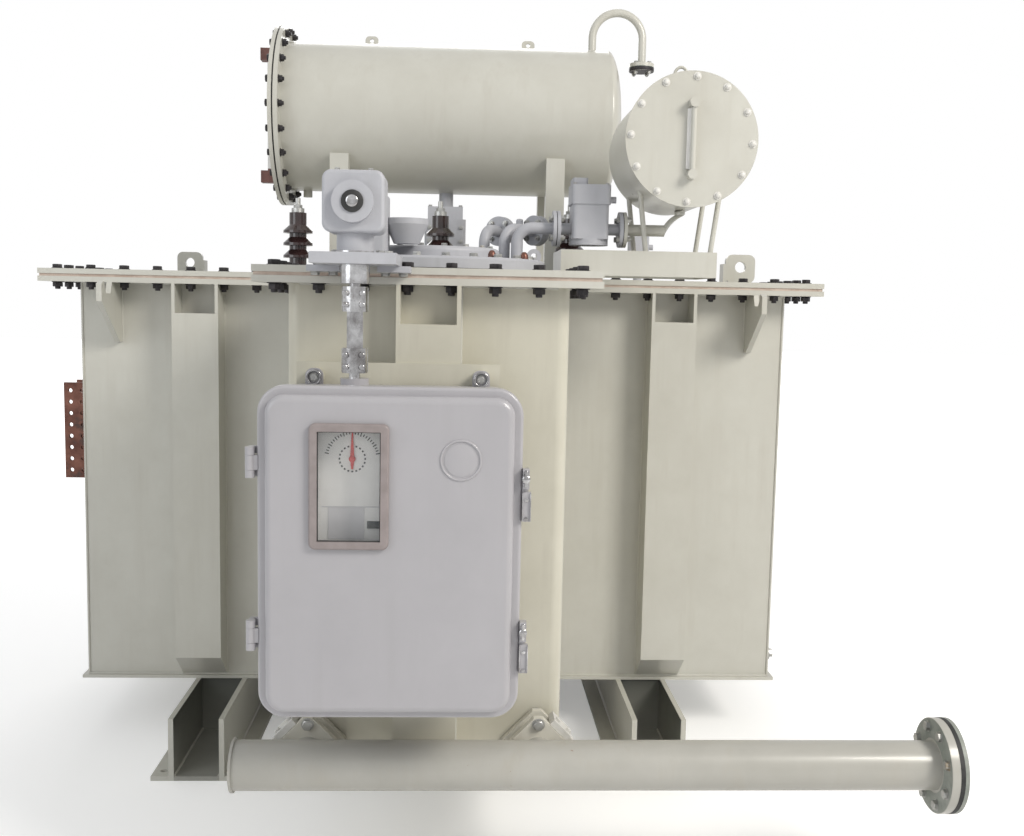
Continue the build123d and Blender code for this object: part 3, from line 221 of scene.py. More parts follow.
finishes = {
    "tank": paintFinish("tankPaint", tankLook),
    "bay": paintFinish("bayPaint", bayLook),
    "skid": paintFinish("skidPaint", skidLook),
    "pipe": paintFinish("pipePaint", pipeLook),
    "cabinet": paintFinish("cabinetPaint", cabinetLook),
    "casting": paintFinish("castingPaint", castingLook),
    "valve": paintFinish("valvePaint", valveLook),
    "zinc": metalFinish("zincSteel", zincLook),
    "black": metalFinish("blackBolts", blackLook),
    "copper": metalFinish("copperBar", copperLook),
    "bright": metalFinish("brightSteel", brightLook),
    "frame": plainFinish("windowFramePaint", {
        "low": (0.245, 0.212, 0.207), "high": (0.295, 0.255, 0.250), "cloud": 30.0, "grain": 300.0,
        "rough": 0.32, "relief": 0.15}),
    # The blind's own paint; the same dark colour is also the painted shade on the back face of the pipe's flange
    "blind": plainFinish("blindPaintAndFlangeShade", {
        "low": (0.205, 0.225, 0.200), "high": (0.300, 0.315, 0.285), "cloud": 25.0, "grain": 260.0,
        "rough": 0.34, "relief": 0.2}),
    "rubber": plainFinish("blackRubber", {
        "low": (0.018, 0.018, 0.018), "high": (0.035, 0.035, 0.035), "cloud": 30.0, "grain": 300.0,
        "rough": 0.55, "relief": 0.3}),
    "seal": plainFinish("sealCord", {
        "low": (0.46, 0.355, 0.295), "high": (0.60, 0.500, 0.430), "cloud": 25.0, "grain": 300.0,
        "rough": 0.55, "relief": 0.3}),
    "porcelain": plainFinish("brownPorcelain", {
        "low": (0.019, 0.011, 0.011), "high": (0.038, 0.020, 0.019), "cloud": 20.0, "grain": 90.0,
        "rough": 0.08, "relief": 0.04, "extra": {"Coat_Weight": 0.6}}),
    "gauge": plainFinish("gaugeBrown", {
        "low": (0.13, 0.055, 0.045), "high": (0.20, 0.09, 0.075), "cloud": 40.0, "grain": 300.0,
        "rough": 0.4, "relief": 0.3}),
    "board": plainFinish("boardLaminate", {
        "low": (0.22, 0.14, 0.075), "high": (0.32, 0.22, 0.12), "cloud": 30.0, "grain": 200.0,
        "rough": 0.4, "relief": 0.2}),
    "white": plainFinish("dialWhite", {
        "low": (0.80, 0.79, 0.77), "high": (0.86, 0.85, 0.83), "cloud": 20.0, "grain": 300.0,
        "rough": 0.45, "relief": 0.05}),
    "card": plainFinish("dialCard", {
        "low": (0.60, 0.59, 0.61), "high": (0.66, 0.65, 0.67), "cloud": 20.0, "grain": 300.0,
        "rough": 0.35, "relief": 0.05}),
    "pale": plainFinish("palePaint", {
        "low": (0.62, 0.61, 0.57), "high": (0.70, 0.69, 0.66), "cloud": 60.0, "grain": 300.0,
        "rough": 0.35, "relief": 0.15}),
    "green": plainFinish("greenSeal", {
        "low": (0.035, 0.07, 0.055), "high": (0.06, 0.11, 0.09), "cloud": 60.0, "grain": 300.0,
        "rough": 0.5, "relief": 0.2}),
    "red": plainFinish("pointerRed", {
        "low": (0.60, 0.035, 0.035), "high": (0.70, 0.055, 0.05), "cloud": 60.0, "grain": 300.0,
        "rough": 0.4, "relief": 0.1}),
    "ink": plainFinish("markBlack", {
        "low": (0.02, 0.02, 0.025), "high": (0.03, 0.03, 0.035), "cloud": 60.0, "grain": 300.0,
        "rough": 0.5, "relief": 0.05}),
    "glass": plainFinish("windowGlass", {
        "low": (0.75, 0.80, 0.80), "high": (0.80, 0.84, 0.84), "cloud": 4.0, "grain": 20.0,
        "rough": 0.04, "relief": 0.0, "extra": {"Alpha": 0.05}}),
}
print("finishes made:", len(finishes))

# Which CAD node takes which finish; the rest are tank paint
nodeFinish = {
    "casting": ["main_relay", "tap_head", "tap_lid", "head_gearbox", "head_elbows", "tap_relay", "bevel_gear",
                "bevel_bracket", "terminal_box"],
    "cabinet": ["cabinet_housing", "cabinet_door", "inner_panel"],
    "frame": ["window_frame"],
    "bay": ["bay_wall", "bay_stiffener", "bay_floor", "mounting_plate"],
    "blind": ["header_blind"],
    "skid": ["skid_left", "skid_right"],
    "pipe": ["header_pipe"],
    "bright": ["drive_shaft"],
    "rubber": ["conservator_gasket", "header_gasket"],
    "seal": ["flange_gasket"],
    "gauge": ["conservator_gauge"],
    "zinc": ["bushing_fittings", "cross_shaft", "drain_plug"],
    "porcelain": ["bushings"],
    "copper": ["copper_bars"],
    "board": ["terminal_board"],
    "glass": ["window_glass"],
    "white": ["dial_plate"],
    "valve": ["header_valves"],
}
finishOf = {node: kind for kind, names in nodeFinish.items() for node in names}

# Nodes whose edges are rounded; the window frame's more than the rest
softEdge = {
    "plates": ["tank_cover", "tank_flange", "wing_stiffeners", "bay_stiffener", "lifting_hooks", "cover_lugs",
               "skid_left", "skid_right", "tank_floor", "bay_floor", "mounting_plate", "small_stand",
               "conservator_supports", "bevel_bracket", "header_valves", "head_gearbox", "copper_bars",
               "terminal_board", "conservator_cover", "header_blind", "small_cover", "main_relay", "tap_relay",
               "terminal_box", "head_elbows", "conservator_gauge"],
    "plate": (0.0018, 2), "window_frame": (0.0050, 3), "angle": 50, "sharp": 32,
}
for name, piece in nodes.items():
    piece.data.materials.clear()
    piece.data.materials.append(finishes[finishOf.get(name, "tank")])
    piece.data.shade_smooth()
    piece.data.set_sharp_from_angle(angle=math.radians(softEdge["sharp"]))
    row = softEdge.get(name) or (name in softEdge["plates"] and softEdge["plate"])
    if row:
        edge = piece.modifiers.new("softEdge", "BEVEL")
        edge.width, edge.segments = row
        edge.limit_method = "ANGLE"
        edge.angle_limit = math.radians(softEdge["angle"])
        edge.use_clamp_overlap = True
        edge.harden_normals = True
print("nodes finished")


# The direction that turns about an axis are measured from
def upFor(axis):
    return Vector((0, 0, 1)) if abs(axis.z) < 0.9 else Vector((0, 1, 0))


# Mesh helpers: every piece is gathered in one bmesh and then made an object
class Build:
    def __init__(self):
        self.mesh = bmesh.new()

    def ring(self, centre, axis, up, radius, steps, turn=0.0):
        axis, up = axis.normalized(), up.normalized()
        side = axis.cross(up).normalized()
        up = side.cross(axis).normalized()
        found = []
        for i in range(steps):
            a = 2 * math.pi * i / steps + turn
            found.append(self.mesh.verts.new(centre + (side * math.cos(a) + up * math.sin(a)) * radius))
        return found

    def loft(self, rings, closed=False):
        pairs = list(zip(rings, rings[1:]))
        if closed:
            pairs.append((rings[-1], rings[0]))
        for a, b in pairs:
            n = len(a)
            for i in range(n):
                self.mesh.faces.new((a[i], a[(i + 1) % n], b[(i + 1) % n], b[i]))
        if not closed:
            self.mesh.faces.new(list(reversed(rings[0])))
            self.mesh.faces.new(rings[-1])

    # A turned form: profile is (distance along the axis, radius) pairs
    def turned(self, base, axis, profile, steps=24, turn=0.0):
        base, axis = Vector(base), Vector(axis).normalized()
        up = upFor(axis)
        self.loft([self.ring(base + axis * along, axis, up, radius, steps, turn) for along, radius in profile])

    # A short open tube: a washer, a band or a gasket ring
    def sleeve(self, base, axis, inner, outer, length, steps=40):
        base, axis = Vector(base), Vector(axis).normalized()
        profile = ((0, outer), (length, outer), (length, inner), (0, inner))
        rings = [self.ring(base + axis * along, axis, upFor(axis), radius, steps) for along, radius in profile]
        self.loft(rings, closed=True)

    # A round tube along points; a closed one needs the direction square to its plane as up
    def tube(self, points, radius, steps=10, closed=False, up=None, ripple=0.0, pitch=0.006):
        points = [Vector(p) for p in points]
        last = len(points) - 1
        if up is None:
            first = (points[1] - points[0]).normalized()
            up = (1, 0, 0) if abs(first.z) > 0.95 else (0, 0, 1)
        up = Vector(up)
        rings = []
        travelled = 0.0
        for i, point in enumerate(points):
            before = points[i - 1] if closed else points[max(i - 1, 0)]
            after = points[(i + 1) % len(points)] if closed else points[min(i + 1, last)]
            travelled += (point - before).length
            size = radius * (1 + ripple * math.cos(2 * math.pi * travelled / pitch))
            rings.append(self.ring(point, (after - before).normalized(), up, size, steps))
        self.loft(rings, closed=closed)

    def block(self, centre, size, turn=None):
        made = bmesh.ops.create_cube(self.mesh, size=1.0)["verts"]
        bmesh.ops.scale(self.mesh, vec=Vector(size), verts=made)
        if turn is not None:
            bmesh.ops.rotate(self.mesh, matrix=turn, verts=made)
        bmesh.ops.translate(self.mesh, vec=Vector(centre), verts=made)

    # A washer and hexagon head; with a grip, the washer, nut and thread end behind it too
    def bolt(self, at, axis, size, grip=0.0, turn=0.0):
        axis = Vector(axis).normalized()
        at = Vector(at)
        r = size * 0.87
        washer = [(0, size * 1.02), (size * 0.14, size * 1.02)]
        head = [(0, r * 0.96), (size * 0.06, r), (size * 0.56, r), (size * 0.64, r * 0.88)]
        nut = [(0, r * 0.88), (size * 0.08, r), (size * 0.74, r), (size * 0.82, r * 0.9)]
        thread = [(0, size * 0.48), (size * 0.4, size * 0.48), (size * 0.48, size * 0.4)]
        self.turned(at, axis, washer, 16)
        self.turned(at + axis * size * 0.14, axis, head, 6, turn)
        if grip:
            far = at - axis * grip
            self.turned(far, -axis, washer, 16)
            self.turned(far - axis * size * 0.14, -axis, nut, 6, turn)
            self.turned(far - axis * size * 0.9, -axis, thread, 12)

    # A domed, painted cap over a bolt
    def cap(self, at, axis, size):
        self.turned(at, axis, [(0, size * 1.35), (size * 0.2, size * 1.35)], 16)
        profile = [(0, 0.98), (0.35, 0.96), (0.62, 0.78), (0.8, 0.5), (0.88, 0.2)]
        self.turned(Vector(at) + Vector(axis) * size * 0.2, axis, [(a * size, b * size) for a, b in profile], 12)

    def done(self, name, finish, body, bevel=0.0, smooth=40.0):
        mesh = bpy.data.meshes.new(name)
        bmesh.ops.recalc_face_normals(self.mesh, faces=self.mesh.faces)
        self.mesh.to_mesh(mesh)
        self.mesh.free()
        mesh.shade_smooth()
        mesh.set_sharp_from_angle(angle=math.radians(smooth))
        piece = bpy.data.objects.new(name, mesh)
        scene.collection.objects.link(piece)
        mesh.materials.append(finishes[finish])
        if bevel:
            edge = piece.modifiers.new("softEdge", "BEVEL")
            edge.width = bevel
            edge.segments = 2
            edge.limit_method = "ANGLE"
            edge.angle_limit = math.radians(70)  # square edges only: small turned forms would fold over
        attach(piece, body)


# Places read once from the frame
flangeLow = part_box("tank_flange")[0]
coverLow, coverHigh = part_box("tank_cover")
bayLow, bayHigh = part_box("bay_wall")
frontLow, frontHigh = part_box("front_wall")
headLow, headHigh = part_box("tap_head")
doorLow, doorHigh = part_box("cabinet_door")
frameLow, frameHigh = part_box("window_frame")
relayLow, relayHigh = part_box("tap_relay")
endLow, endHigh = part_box("conservator_cover")
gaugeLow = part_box("conservator_gauge")[0]
blindLow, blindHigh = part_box("header_blind")
smallLow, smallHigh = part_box("small_cover")
endMiddle = (endLow + endHigh) / 2
headerMiddle = (blindLow + blindHigh) / 2
smallMiddle = (smallLow + smallHigh) / 2
headMiddle = Vector((0, (headLow.y + headHigh.y) / 2, coverHigh.z + 0.034))  # the top of the head's bolted flange
xWay, yWay, zWay = Vector((1, 0, 0)), Vector((0, 1, 0)), Vector((0, 0, 1))


# Even points from a to b, both ends included
def spread(a, b, count):
    return [a.lerp(b, i / count) for i in range(count + 1)]


# Points on a circle from up round towards side; first is how far on they start, in spacings
def around(centre, side, up, radius, count, first=0.0):
    turns = [2 * math.pi * (i + first) / count for i in range(count)]
    return [Vector(centre) + (side * math.sin(a) + up * math.cos(a)) * radius for a in turns]


# The corners of a rectangle about its centre
def corners(centre, side, up):
    return [Vector(centre) + Vector(side) * a + Vector(up) * b for a in (-1, 1) for b in (-1, 1)]


coverBolts = {"size": 0.017, "inset": 0.045, "pitch": 0.105, "bayOver": 0.070, "frontOver": 0.100, "turn": 0.7}


def makeCoverBolts():
    inset, top = coverBolts["inset"], coverHigh.z
    x, bay = coverHigh.x - inset, bayHigh.x + coverBolts["bayOver"] - inset
    front, rear, nose = frontLow.y - coverBolts["frontOver"] + inset, coverHigh.y - inset, coverLow.y + inset
    outline = [(x, rear), (-x, rear), (-x, front), (-bay, front), (-bay, nose), (bay, nose), (bay, front), (x, front)]
    run = Build()
    count = 0
    for here, there in zip(outline, outline[1:] + outline[:1]):
        here, there = Vector((*here, top)), Vector((*there, top))
        for at in spread(here, there, round((there - here).length / coverBolts["pitch"]))[:-1]:
            run.bolt(at, zWay, coverBolts["size"], top - flangeLow.z, turn=count * coverBolts["turn"])
            count += 1
    run.done("coverBolts", "black", "tank")
    print("cover bolts:", count)


makeCoverBolts()

# Bolt circles: radius, count, bolt size, grip, and how far on the first bolt is, in spacings
boltCircles = {
    "conservator": (0.2725, 22, 0.013, 0.031, 0.5),
    "header": (0.090, 8, 0.013, 0.0, 0.5),
    "head": (0.270, 24, 0.012, 0.0, 0.5),
    "lid": (0.152, 16, 0.009, 0.0, 0.5),
    "valve": (0.071, 4, 0.015, 0.070, 0.0),
    "bevelTop": (0.050, 4, 0.0065, 0.0, 0.5),
    "bevelFoot": (0.070, 4, 0.012, 0.0, 0.5),
}
boltTurn = 0.9  # how far each head is turned on from the one before, in radians


def flangeBolts(name, finish, rows):
    run = Build()
    for circle, centre, axis in rows:
        radius, count, size, grip, first = boltCircles[circle]
        up = upFor(axis)
        side = axis.cross(up).normalized()
        for i, at in enumerate(around(centre, side, up, radius, count, first)):
            run.bolt(at, axis, size, grip, turn=i * boltTurn)
    run.done(name, finish, "tank")


# The blind end of the header pipe and the two valves behind it
header = {
    "flange": 0.020, "gasket": 0.006, "valveSide": 0.275,
    "seal": {"back": 0.0062, "inside": 0.004, "outside": 0.0006, "length": 0.0105},
    # face: a dark ring of painted shade on the back face of the pipe's flange: how far behind that face it starts,
    # bore, inset from the rim and thickness
    "face": {"back": 0.0006, "bore": 0.063, "inside": 0.0015, "length": 0.0010},
    "pads": {"in": 0.0010, "profile": ((0, 0.0105), (0.0011, 0.0105), (0.0012, 0.010))},
}
headerBack = blindLow.x - header["gasket"] - header["flange"]
smallCaps = {"count": 12, "radius": 0.158, "first": 0.1, "size": 0.0078}


def makeFlangeBolts():
    flangeBolts("conservatorBolts", "black", [("conservator", (endLow.x, endMiddle.y, endMiddle.z), -xWay)])
    flangeBolts("headerBolts", "zinc", [("header", (headerBack, headerMiddle.y, headerMiddle.z), -xWay)])
    caps = Build()
    centre = (smallMiddle.x, smallLow.y, smallMiddle.z)
    for at in around(centre, xWay, zWay, smallCaps["radius"], smallCaps["count"], smallCaps["first"]):
        caps.cap(at, -yWay, smallCaps["size"])
    caps.done("smallCoverCaps", "pale", "tank")
    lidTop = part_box("tap_lid")[1].z - 0.0005
    flangeBolts("headBolts", "zinc", [
        ("head", headMiddle, zWay),
        ("lid", (headMiddle.x, headMiddle.y, lidTop), zWay),
    ])
    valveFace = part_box("header_valves")[0].y
    flangeBolts("valveBolts", "zinc", [
        ("valve", (side * header["valveSide"], valveFace, headerMiddle.z), -yWay) for side in (-1, 1)
    ])
    print("flange bolts made")


makeFlangeBolts()

# Weld beads along the plate joints: radii first, then where the ribs, hooks and skid webs are
welds = {
    "radius": 0.005, "thin": 0.004, "rib": 0.0045, "bay": 0.006,
    "step": 0.0035, "ripple": 0.12, "pitch": 0.008, "bayCorner": 0.030,
    "wingRib": 0.746, "wingRibHalf": 0.071, "bayRib": 0.075,
    "hook": 1.004, "hookHalf": 0.009, "hookDrop": 0.185,
    "skid": 0.690, "webs": (-0.082, -0.066, 0.066, 0.082), "skidTop": 0.0145, "skidEnd": 0.004,
}


def makeWelds():
    run = Build()

    def bead(a, b, radius=welds["radius"]):
        a, b = Vector(a), Vector(b)
        points = spread(a, b, int((b - a).length / welds["step"]))
        run.tube(points, radius, 6, ripple=welds["ripple"], pitch=welds["pitch"])

    x, y, low, high = frontHigh.x, frontLow.y, frontLow.z, frontHigh.z
    bay, nose, corner = bayHigh.x, bayLow.y, welds["bayCorner"]
    for level in (low, high):
        bead((-x, y, level), (-bay, y, level))
        bead((bay, y, level), (x, y, level))
        bead((-x, -y, level), (x, -y, level))
    for level in (bayLow.z, bayHigh.z):
        bead((-bay + corner, nose, level), (bay - corner, nose, level))
    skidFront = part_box("skid_left")[0].y + welds["skidEnd"]
    for side in (-1, 1):
        for level in (low, high):
            bead((side * x, y, level), (side * x, -y, level))
        for level in (bayLow.z, bayHigh.z):
            bead((side * bay, nose + corner, level), (side * bay, y, level))
        bead((side * bay, y, bayLow.z), (side * bay, y, bayHigh.z), welds["bay"])
        rib = side * welds["bayRib"]
        bead((rib, nose, bayLow.z), (rib, nose, bayHigh.z), welds["rib"])
        for wall in (y, -y):
            bead((side * x, wall, low), (side * x, wall, high), welds["thin"])
            for edge in (-1, 1):
                rib = side * welds["wingRib"] + edge * welds["wingRibHalf"]
                bead((rib, wall, low), (rib, wall, high), welds["rib"])
                hook = side * welds["hook"] + edge * welds["hookHalf"]
                bead((hook, wall, high - welds["hookDrop"]), (hook, wall, high), welds["thin"])
        for web in welds["webs"]:
            at = side * welds["skid"] + web
            bead((at, skidFront, welds["skidTop"]), (at, -skidFront, welds["skidTop"]))
    run.done("weldBeads", "tank", "tank", smooth=80)
    print("weld beads made")


makeWelds()

# Places on the dial are measured from the left and top of the window frame; the counter, card and line
# are a middle, width, height, depth and how far they stand out
dial = {
    "pivot": (0.0830, 0.0815), "lift": 0.0006, "sweep": 78,
    "scale": {"count": 25, "radius": 0.0545, "size": (0.0021, 0.0006, 0.0055), "long": 0.0085, "every": 3},
    "ring": {"count": 20, "radius": 0.027, "size": (0.0040, 0.0006, 0.0034)},
    "counter": (0.1300, 0.2220, 0.0310, 0.0155, 0.0030, 0.0010),
    "card": (0.0705, 0.2195, 0.0760, 0.0680, 0.0008, 0.0),
    "line": (0.0830, 0.1840, 0.1280, 0.0022, 0.0010, 0.0),
    "tip": ((-0.0042, 0.006), (0.0042, 0.006), (0.0012, 0.056), (-0.0012, 0.056)),
    "tail": ((-0.0038, -0.006), (0.0038, -0.006), (0.0018, -0.022), (-0.0018, -0.022)),
    "hand": (0.0035, 0.0020), "hub": ((0, 0.007), (0.004, 0.007), (0.0055, 0.0055)),
}


def makeDial():
    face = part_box("dial_plate")[0].y - dial["lift"]
    left, top = frameLow.x, frameHigh.z
    px, pz = left + dial["pivot"][0], top - dial["pivot"][1]

    def mark(run, a, radius, size):
        run.block((px + radius * math.sin(a), face, pz + radius * math.cos(a)), size, Matrix.Rotation(a, 3, "Y"))

    def plate(run, x, z, wide, tall, depth, out):
        run.block((left + x, face - out, top - z), (wide, depth, tall))

    marks = Build()
    scale, ring = dial["scale"], dial["ring"]
    for i in range(scale["count"]):
        a = math.radians(dial["sweep"] * (2 * i / (scale["count"] - 1) - 1))
        wide, depth, long = scale["size"]
        mark(marks, a, scale["radius"], (wide, depth, long if i % scale["every"] else scale["long"]))
    for i in range(ring["count"]):
        mark(marks, 2 * math.pi * i / ring["count"], ring["radius"], ring["size"])
    plate(marks, *dial["counter"])
    marks.done("dialMarks", "ink", "tank")
    card = Build()
    plate(card, *dial["card"])
    plate(card, *dial["line"])
    card.done("dialCard", "card", "tank", bevel=0.0002)
    hand = Build()
    for shape in (dial["tip"], dial["tail"]):
        hand.loft([[hand.mesh.verts.new((px + a, face - out, pz + b)) for a, b in shape] for out in dial["hand"]])
    hand.turned((px, face, pz), -yWay, dial["hub"], 24)
    hand.done("dialPointer", "red", "tank")
    print("dial made")


makeDial()

# The latches, each about its own level; the keeper stands a little to the left of the lever
latch = {
    "x": 0.217, "y": -1.750, "levels": (0.708, 1.035), "keeper": -0.002,
    "pin": {"behind": -0.002, "foot": 0.020, "profile": ((0, 0.0045), (0.032, 0.0045))},
    "screws": {"levels": (0.022, 0.048), "size": 0.0055},
    "rivets": {
        "behind": 0.007, "levels": (-0.050, -0.010),
        "profile": ((0, 0.0045), (0.0015, 0.0045), (0.0025, 0.0025)),
    },
    "rails": {"behind": 0.0055, "side": 0.0085, "level": -0.025, "size": (0.0018, 0.006, 0.060)},
    "boss": {"level": 0.035, "profile": ((0, 0.0085), (0.006, 0.0085), (0.008, 0.006))},
}


def makeLatches():
    run = Build()
    pin, screws, rivets, rails, boss = (latch[key] for key in ("pin", "screws", "rivets", "rails", "boss"))
    for level in latch["levels"]:
        lever = Vector((latch["x"], latch["y"], level))
        keeper = lever + xWay * latch["keeper"]
        run.turned(keeper + Vector((0, pin["behind"], pin["foot"])), zWay, pin["profile"], 12)
        for along in screws["levels"]:
            run.bolt(keeper + zWay * along, -yWay, screws["size"])
        for along in rivets["levels"]:
            run.turned(lever + Vector((0, rivets["behind"], along)), -yWay, rivets["profile"], 12)
        for side in (-1, 1):
            run.block(lever + Vector((side * rails["side"], rails["behind"], rails["level"])), rails["size"])
        run.turned(keeper + zWay * boss["level"], -yWay, boss["profile"], 20)
    run.done("latchLevers", "bright", "door", bevel=0.0008)


doorSeal = {
    "x": -0.067, "half": 0.262, "inset": 0.012, "corner": 0.046, "steps": 8, "radius": 0.0035, "behind": 0.0008,
}
windowSeal = {"half": (0.065, 0.114), "behind": 0.008, "radius": 0.0022}
emblem = {
    "x": 0.079, "z": 1.109, "ring": 0.041, "radius": 0.0026, "out": 0.0002, "steps": 48,
    "behind": 0.0005, "disc": ((0, 0.034), (0.0014, 0.034), (0.0019, 0.0325)),
}


def makeDoorSeals():
    seal = Build()
    r, steps, y = doorSeal["corner"], doorSeal["steps"], doorHigh.y + doorSeal["behind"]
    left, right = doorSeal["x"] - doorSeal["half"] + r, doorSeal["x"] + doorSeal["half"] - r
    bottom, top = doorLow.z + doorSeal["inset"] + r, doorHigh.z - doorSeal["inset"] - r
    points = []
    for x, z, start in ((right, top, 0), (left, top, 90), (left, bottom, 180), (right, bottom, 270)):
        for i in range(steps + 1):
            a = math.radians(start + 90 * i / steps)
            points.append((x + r * math.cos(a), y, z + r * math.sin(a)))
    seal.tube(points, doorSeal["radius"], 8, closed=True, up=yWay)
    seal.done("doorSeal", "rubber", "door", smooth=80)
    window = Build()
    x, z, y = (frameLow.x + frameHigh.x) / 2, (frameLow.z + frameHigh.z) / 2, frameLow.y + windowSeal["behind"]
    w, h = windowSeal["half"]
    ring = [(x - w, y, z - h), (x + w, y, z - h), (x + w, y, z + h), (x - w, y, z + h)]
    for a, b in zip(ring, ring[1:] + ring[:1]):
        window.tube([a, b], windowSeal["radius"], 8)
    window.done("windowSeal", "rubber", "door")


# A plain ring and disc, with nothing on it
def makeEmblem():
    run = Build()
    at = Vector((emblem["x"], doorLow.y, emblem["z"]))
    ring = around(at - yWay * emblem["out"], zWay, xWay, emblem["ring"], emblem["steps"])
    run.tube(ring, emblem["radius"], 8, closed=True, up=yWay)
    run.turned(at + yWay * emblem["behind"], -yWay, emblem["disc"], 48)
    run.done("doorEmblem", "cabinet", "door", smooth=60)
    print("door fittings made")


makeLatches()
makeDoorSeals()
makeEmblem()

# The bevel gear at the cover's edge, its bracket, and the coupling on the shaft under it; a sleeve is
# its foot from the cover's top, inner radius, outer radius and length
bevel = {
    "x": -0.156, "y": -1.587, "z": 1.639, "face": 0.074,
    "seal": {"behind": 0.002, "profile": ((0, 0.0235), (0.005, 0.0235), (0.007, 0.020))},
    "shaftEnd": ((0, 0.0125), (0.009, 0.0125), (0.0105, 0.010), (0.0100, 0.004)),
    "sleeves": ((-0.0412, 0.0296, 0.0315, 0.0410), (0.0242, 0.0380, 0.0405, 0.0040)),
    "top": 1.706, "foot": (-1.470, 1.534),
    "bracket": {"y": -1.487, "z": 1.496, "arms": 0.079, "half": 0.020, "bolt": 0.012},
}
coupling = {
    "screws": (1.289, 1.315, 1.423, 1.448), "side": 0.0184, "out": 0.0265, "bolt": 0.0065,
    "plates": ((1.302, 0.050), (1.4355, 0.049)), "width": 0.0575, "depth": 0.0025,
}


def makeBevelFittings():
    x, y, z = bevel["x"], bevel["y"], bevel["z"]
    face = y - bevel["face"]
    ring = Build()
    ring.turned((x, face + bevel["seal"]["behind"], z), -yWay, bevel["seal"]["profile"], 32)
    ring.done("bevelSeals", "rubber", "tank")
    end = Build()
    end.turned((x, face, z), -yWay, bevel["shaftEnd"], 24)
    end.done("bevelShaftEnd", "bright", "tank")
    band = Build()
    for level, inner, outer, length in bevel["sleeves"]:
        band.sleeve((x, y, coverHigh.z + level), zWay, inner, outer, length)
    band.done("bevelSleeve", "bright", "tank")
    flangeBolts("bevelScrews", "zinc", [
        ("bevelTop", (x, y, bevel["top"]), zWay),
        ("bevelFoot", (x, *bevel["foot"]), zWay),
    ])
    clamp = Build()
    for side in (-1, 1):
        for level in coupling["screws"]:
            clamp.bolt((x + side * coupling["side"], y - coupling["out"], level), -yWay, coupling["bolt"])
    for level, tall in coupling["plates"]:
        clamp.block((x, y, level), (coupling["width"], coupling["depth"], tall))
    clamp.done("couplingClamps", "bright", "upright_shaft")
    run = Build()
    bracket = bevel["bracket"]
    for arm in (-bracket["arms"], bracket["arms"]):
        for side in (-bracket["half"], bracket["half"]):
            run.bolt((x + arm + side, bracket["y"], bracket["z"]), -zWay, bracket["bolt"])
    run.done("bracketBolts", "zinc", "tank")
    print("bevel fittings made")


makeBevelFittings()

# Small bolts on feet, boards, pads and blank flanges; the levels of the feet are above the cover's top
bushingFeet = {
    "places": (-0.447, 0.005, 0.420), "y": -0.430, "level": 0.008, "circle": 0.040, "bolt": 0.008,
    "nutLevel": 0.207, "nut": ((0, 0.014), (0.009, 0.014), (0.010, 0.012)),
}
supportFeet = {"places": (-0.325, 0.375), "y": -0.147, "half": (0.043, 0.195), "level": 0.010, "bolt": 0.009}
headRelay = {
    "x": 0.419, "y": -0.975, "z": 1.636, "faces": (0.320, relayHigh.x - 0.009), "circle": 0.036, "bolt": 0.0095,
    "grip": 0.020, "top": 1.752, "half": (0.043, 0.045), "topBolt": 0.006, "footCircle": 0.044,
    "seals": (0.3295, relayHigh.x + 0.0005), "seal": ((0, 0.0465), (0.002, 0.0465)),
}
# The flange pairs on the head's two short risers: x, y and the way they face in degrees
elbowEnds = {
    "places": ((0.1844, -0.7908, 62.0), (0.2831, -0.8600, 41.0)), "circle": 0.031, "out": 0.012,
    "bolt": 0.0085, "grip": 0.025,
}
boardBolts = {"inset": (0.022, 0.025), "bolt": 0.010}
ears = {"places": (-0.257, 0.123), "y": -1.488, "z": 1.257, "bolt": 0.010, "ring": (0.0135, 0.0180, 0.012)}
mainRelay = {
    "x": 0.018, "y": -0.215, "top": 1.744, "half": (0.050, 0.070), "bolt": 0.007,
    "front": -0.310, "level": 1.6525, "frontHalf": (0.052, 0.0225),
}
boxScrews = {"x": 0.656, "y": -0.350, "half": (0.024, 0.023), "bolt": 0.004}
breather = {
    "x": 0.680, "y": -0.147, "z": 2.252, "circle": 0.032, "bolt": 0.008, "grip": 0.026,
    "plate": (0.0264, ((0, 0.0415), (0.0015, 0.0426), (0.0125, 0.0426), (0.013, 0.0415))),
    "seal": (0.0140, ((0, 0.0415), (0.002, 0.0415))),
}


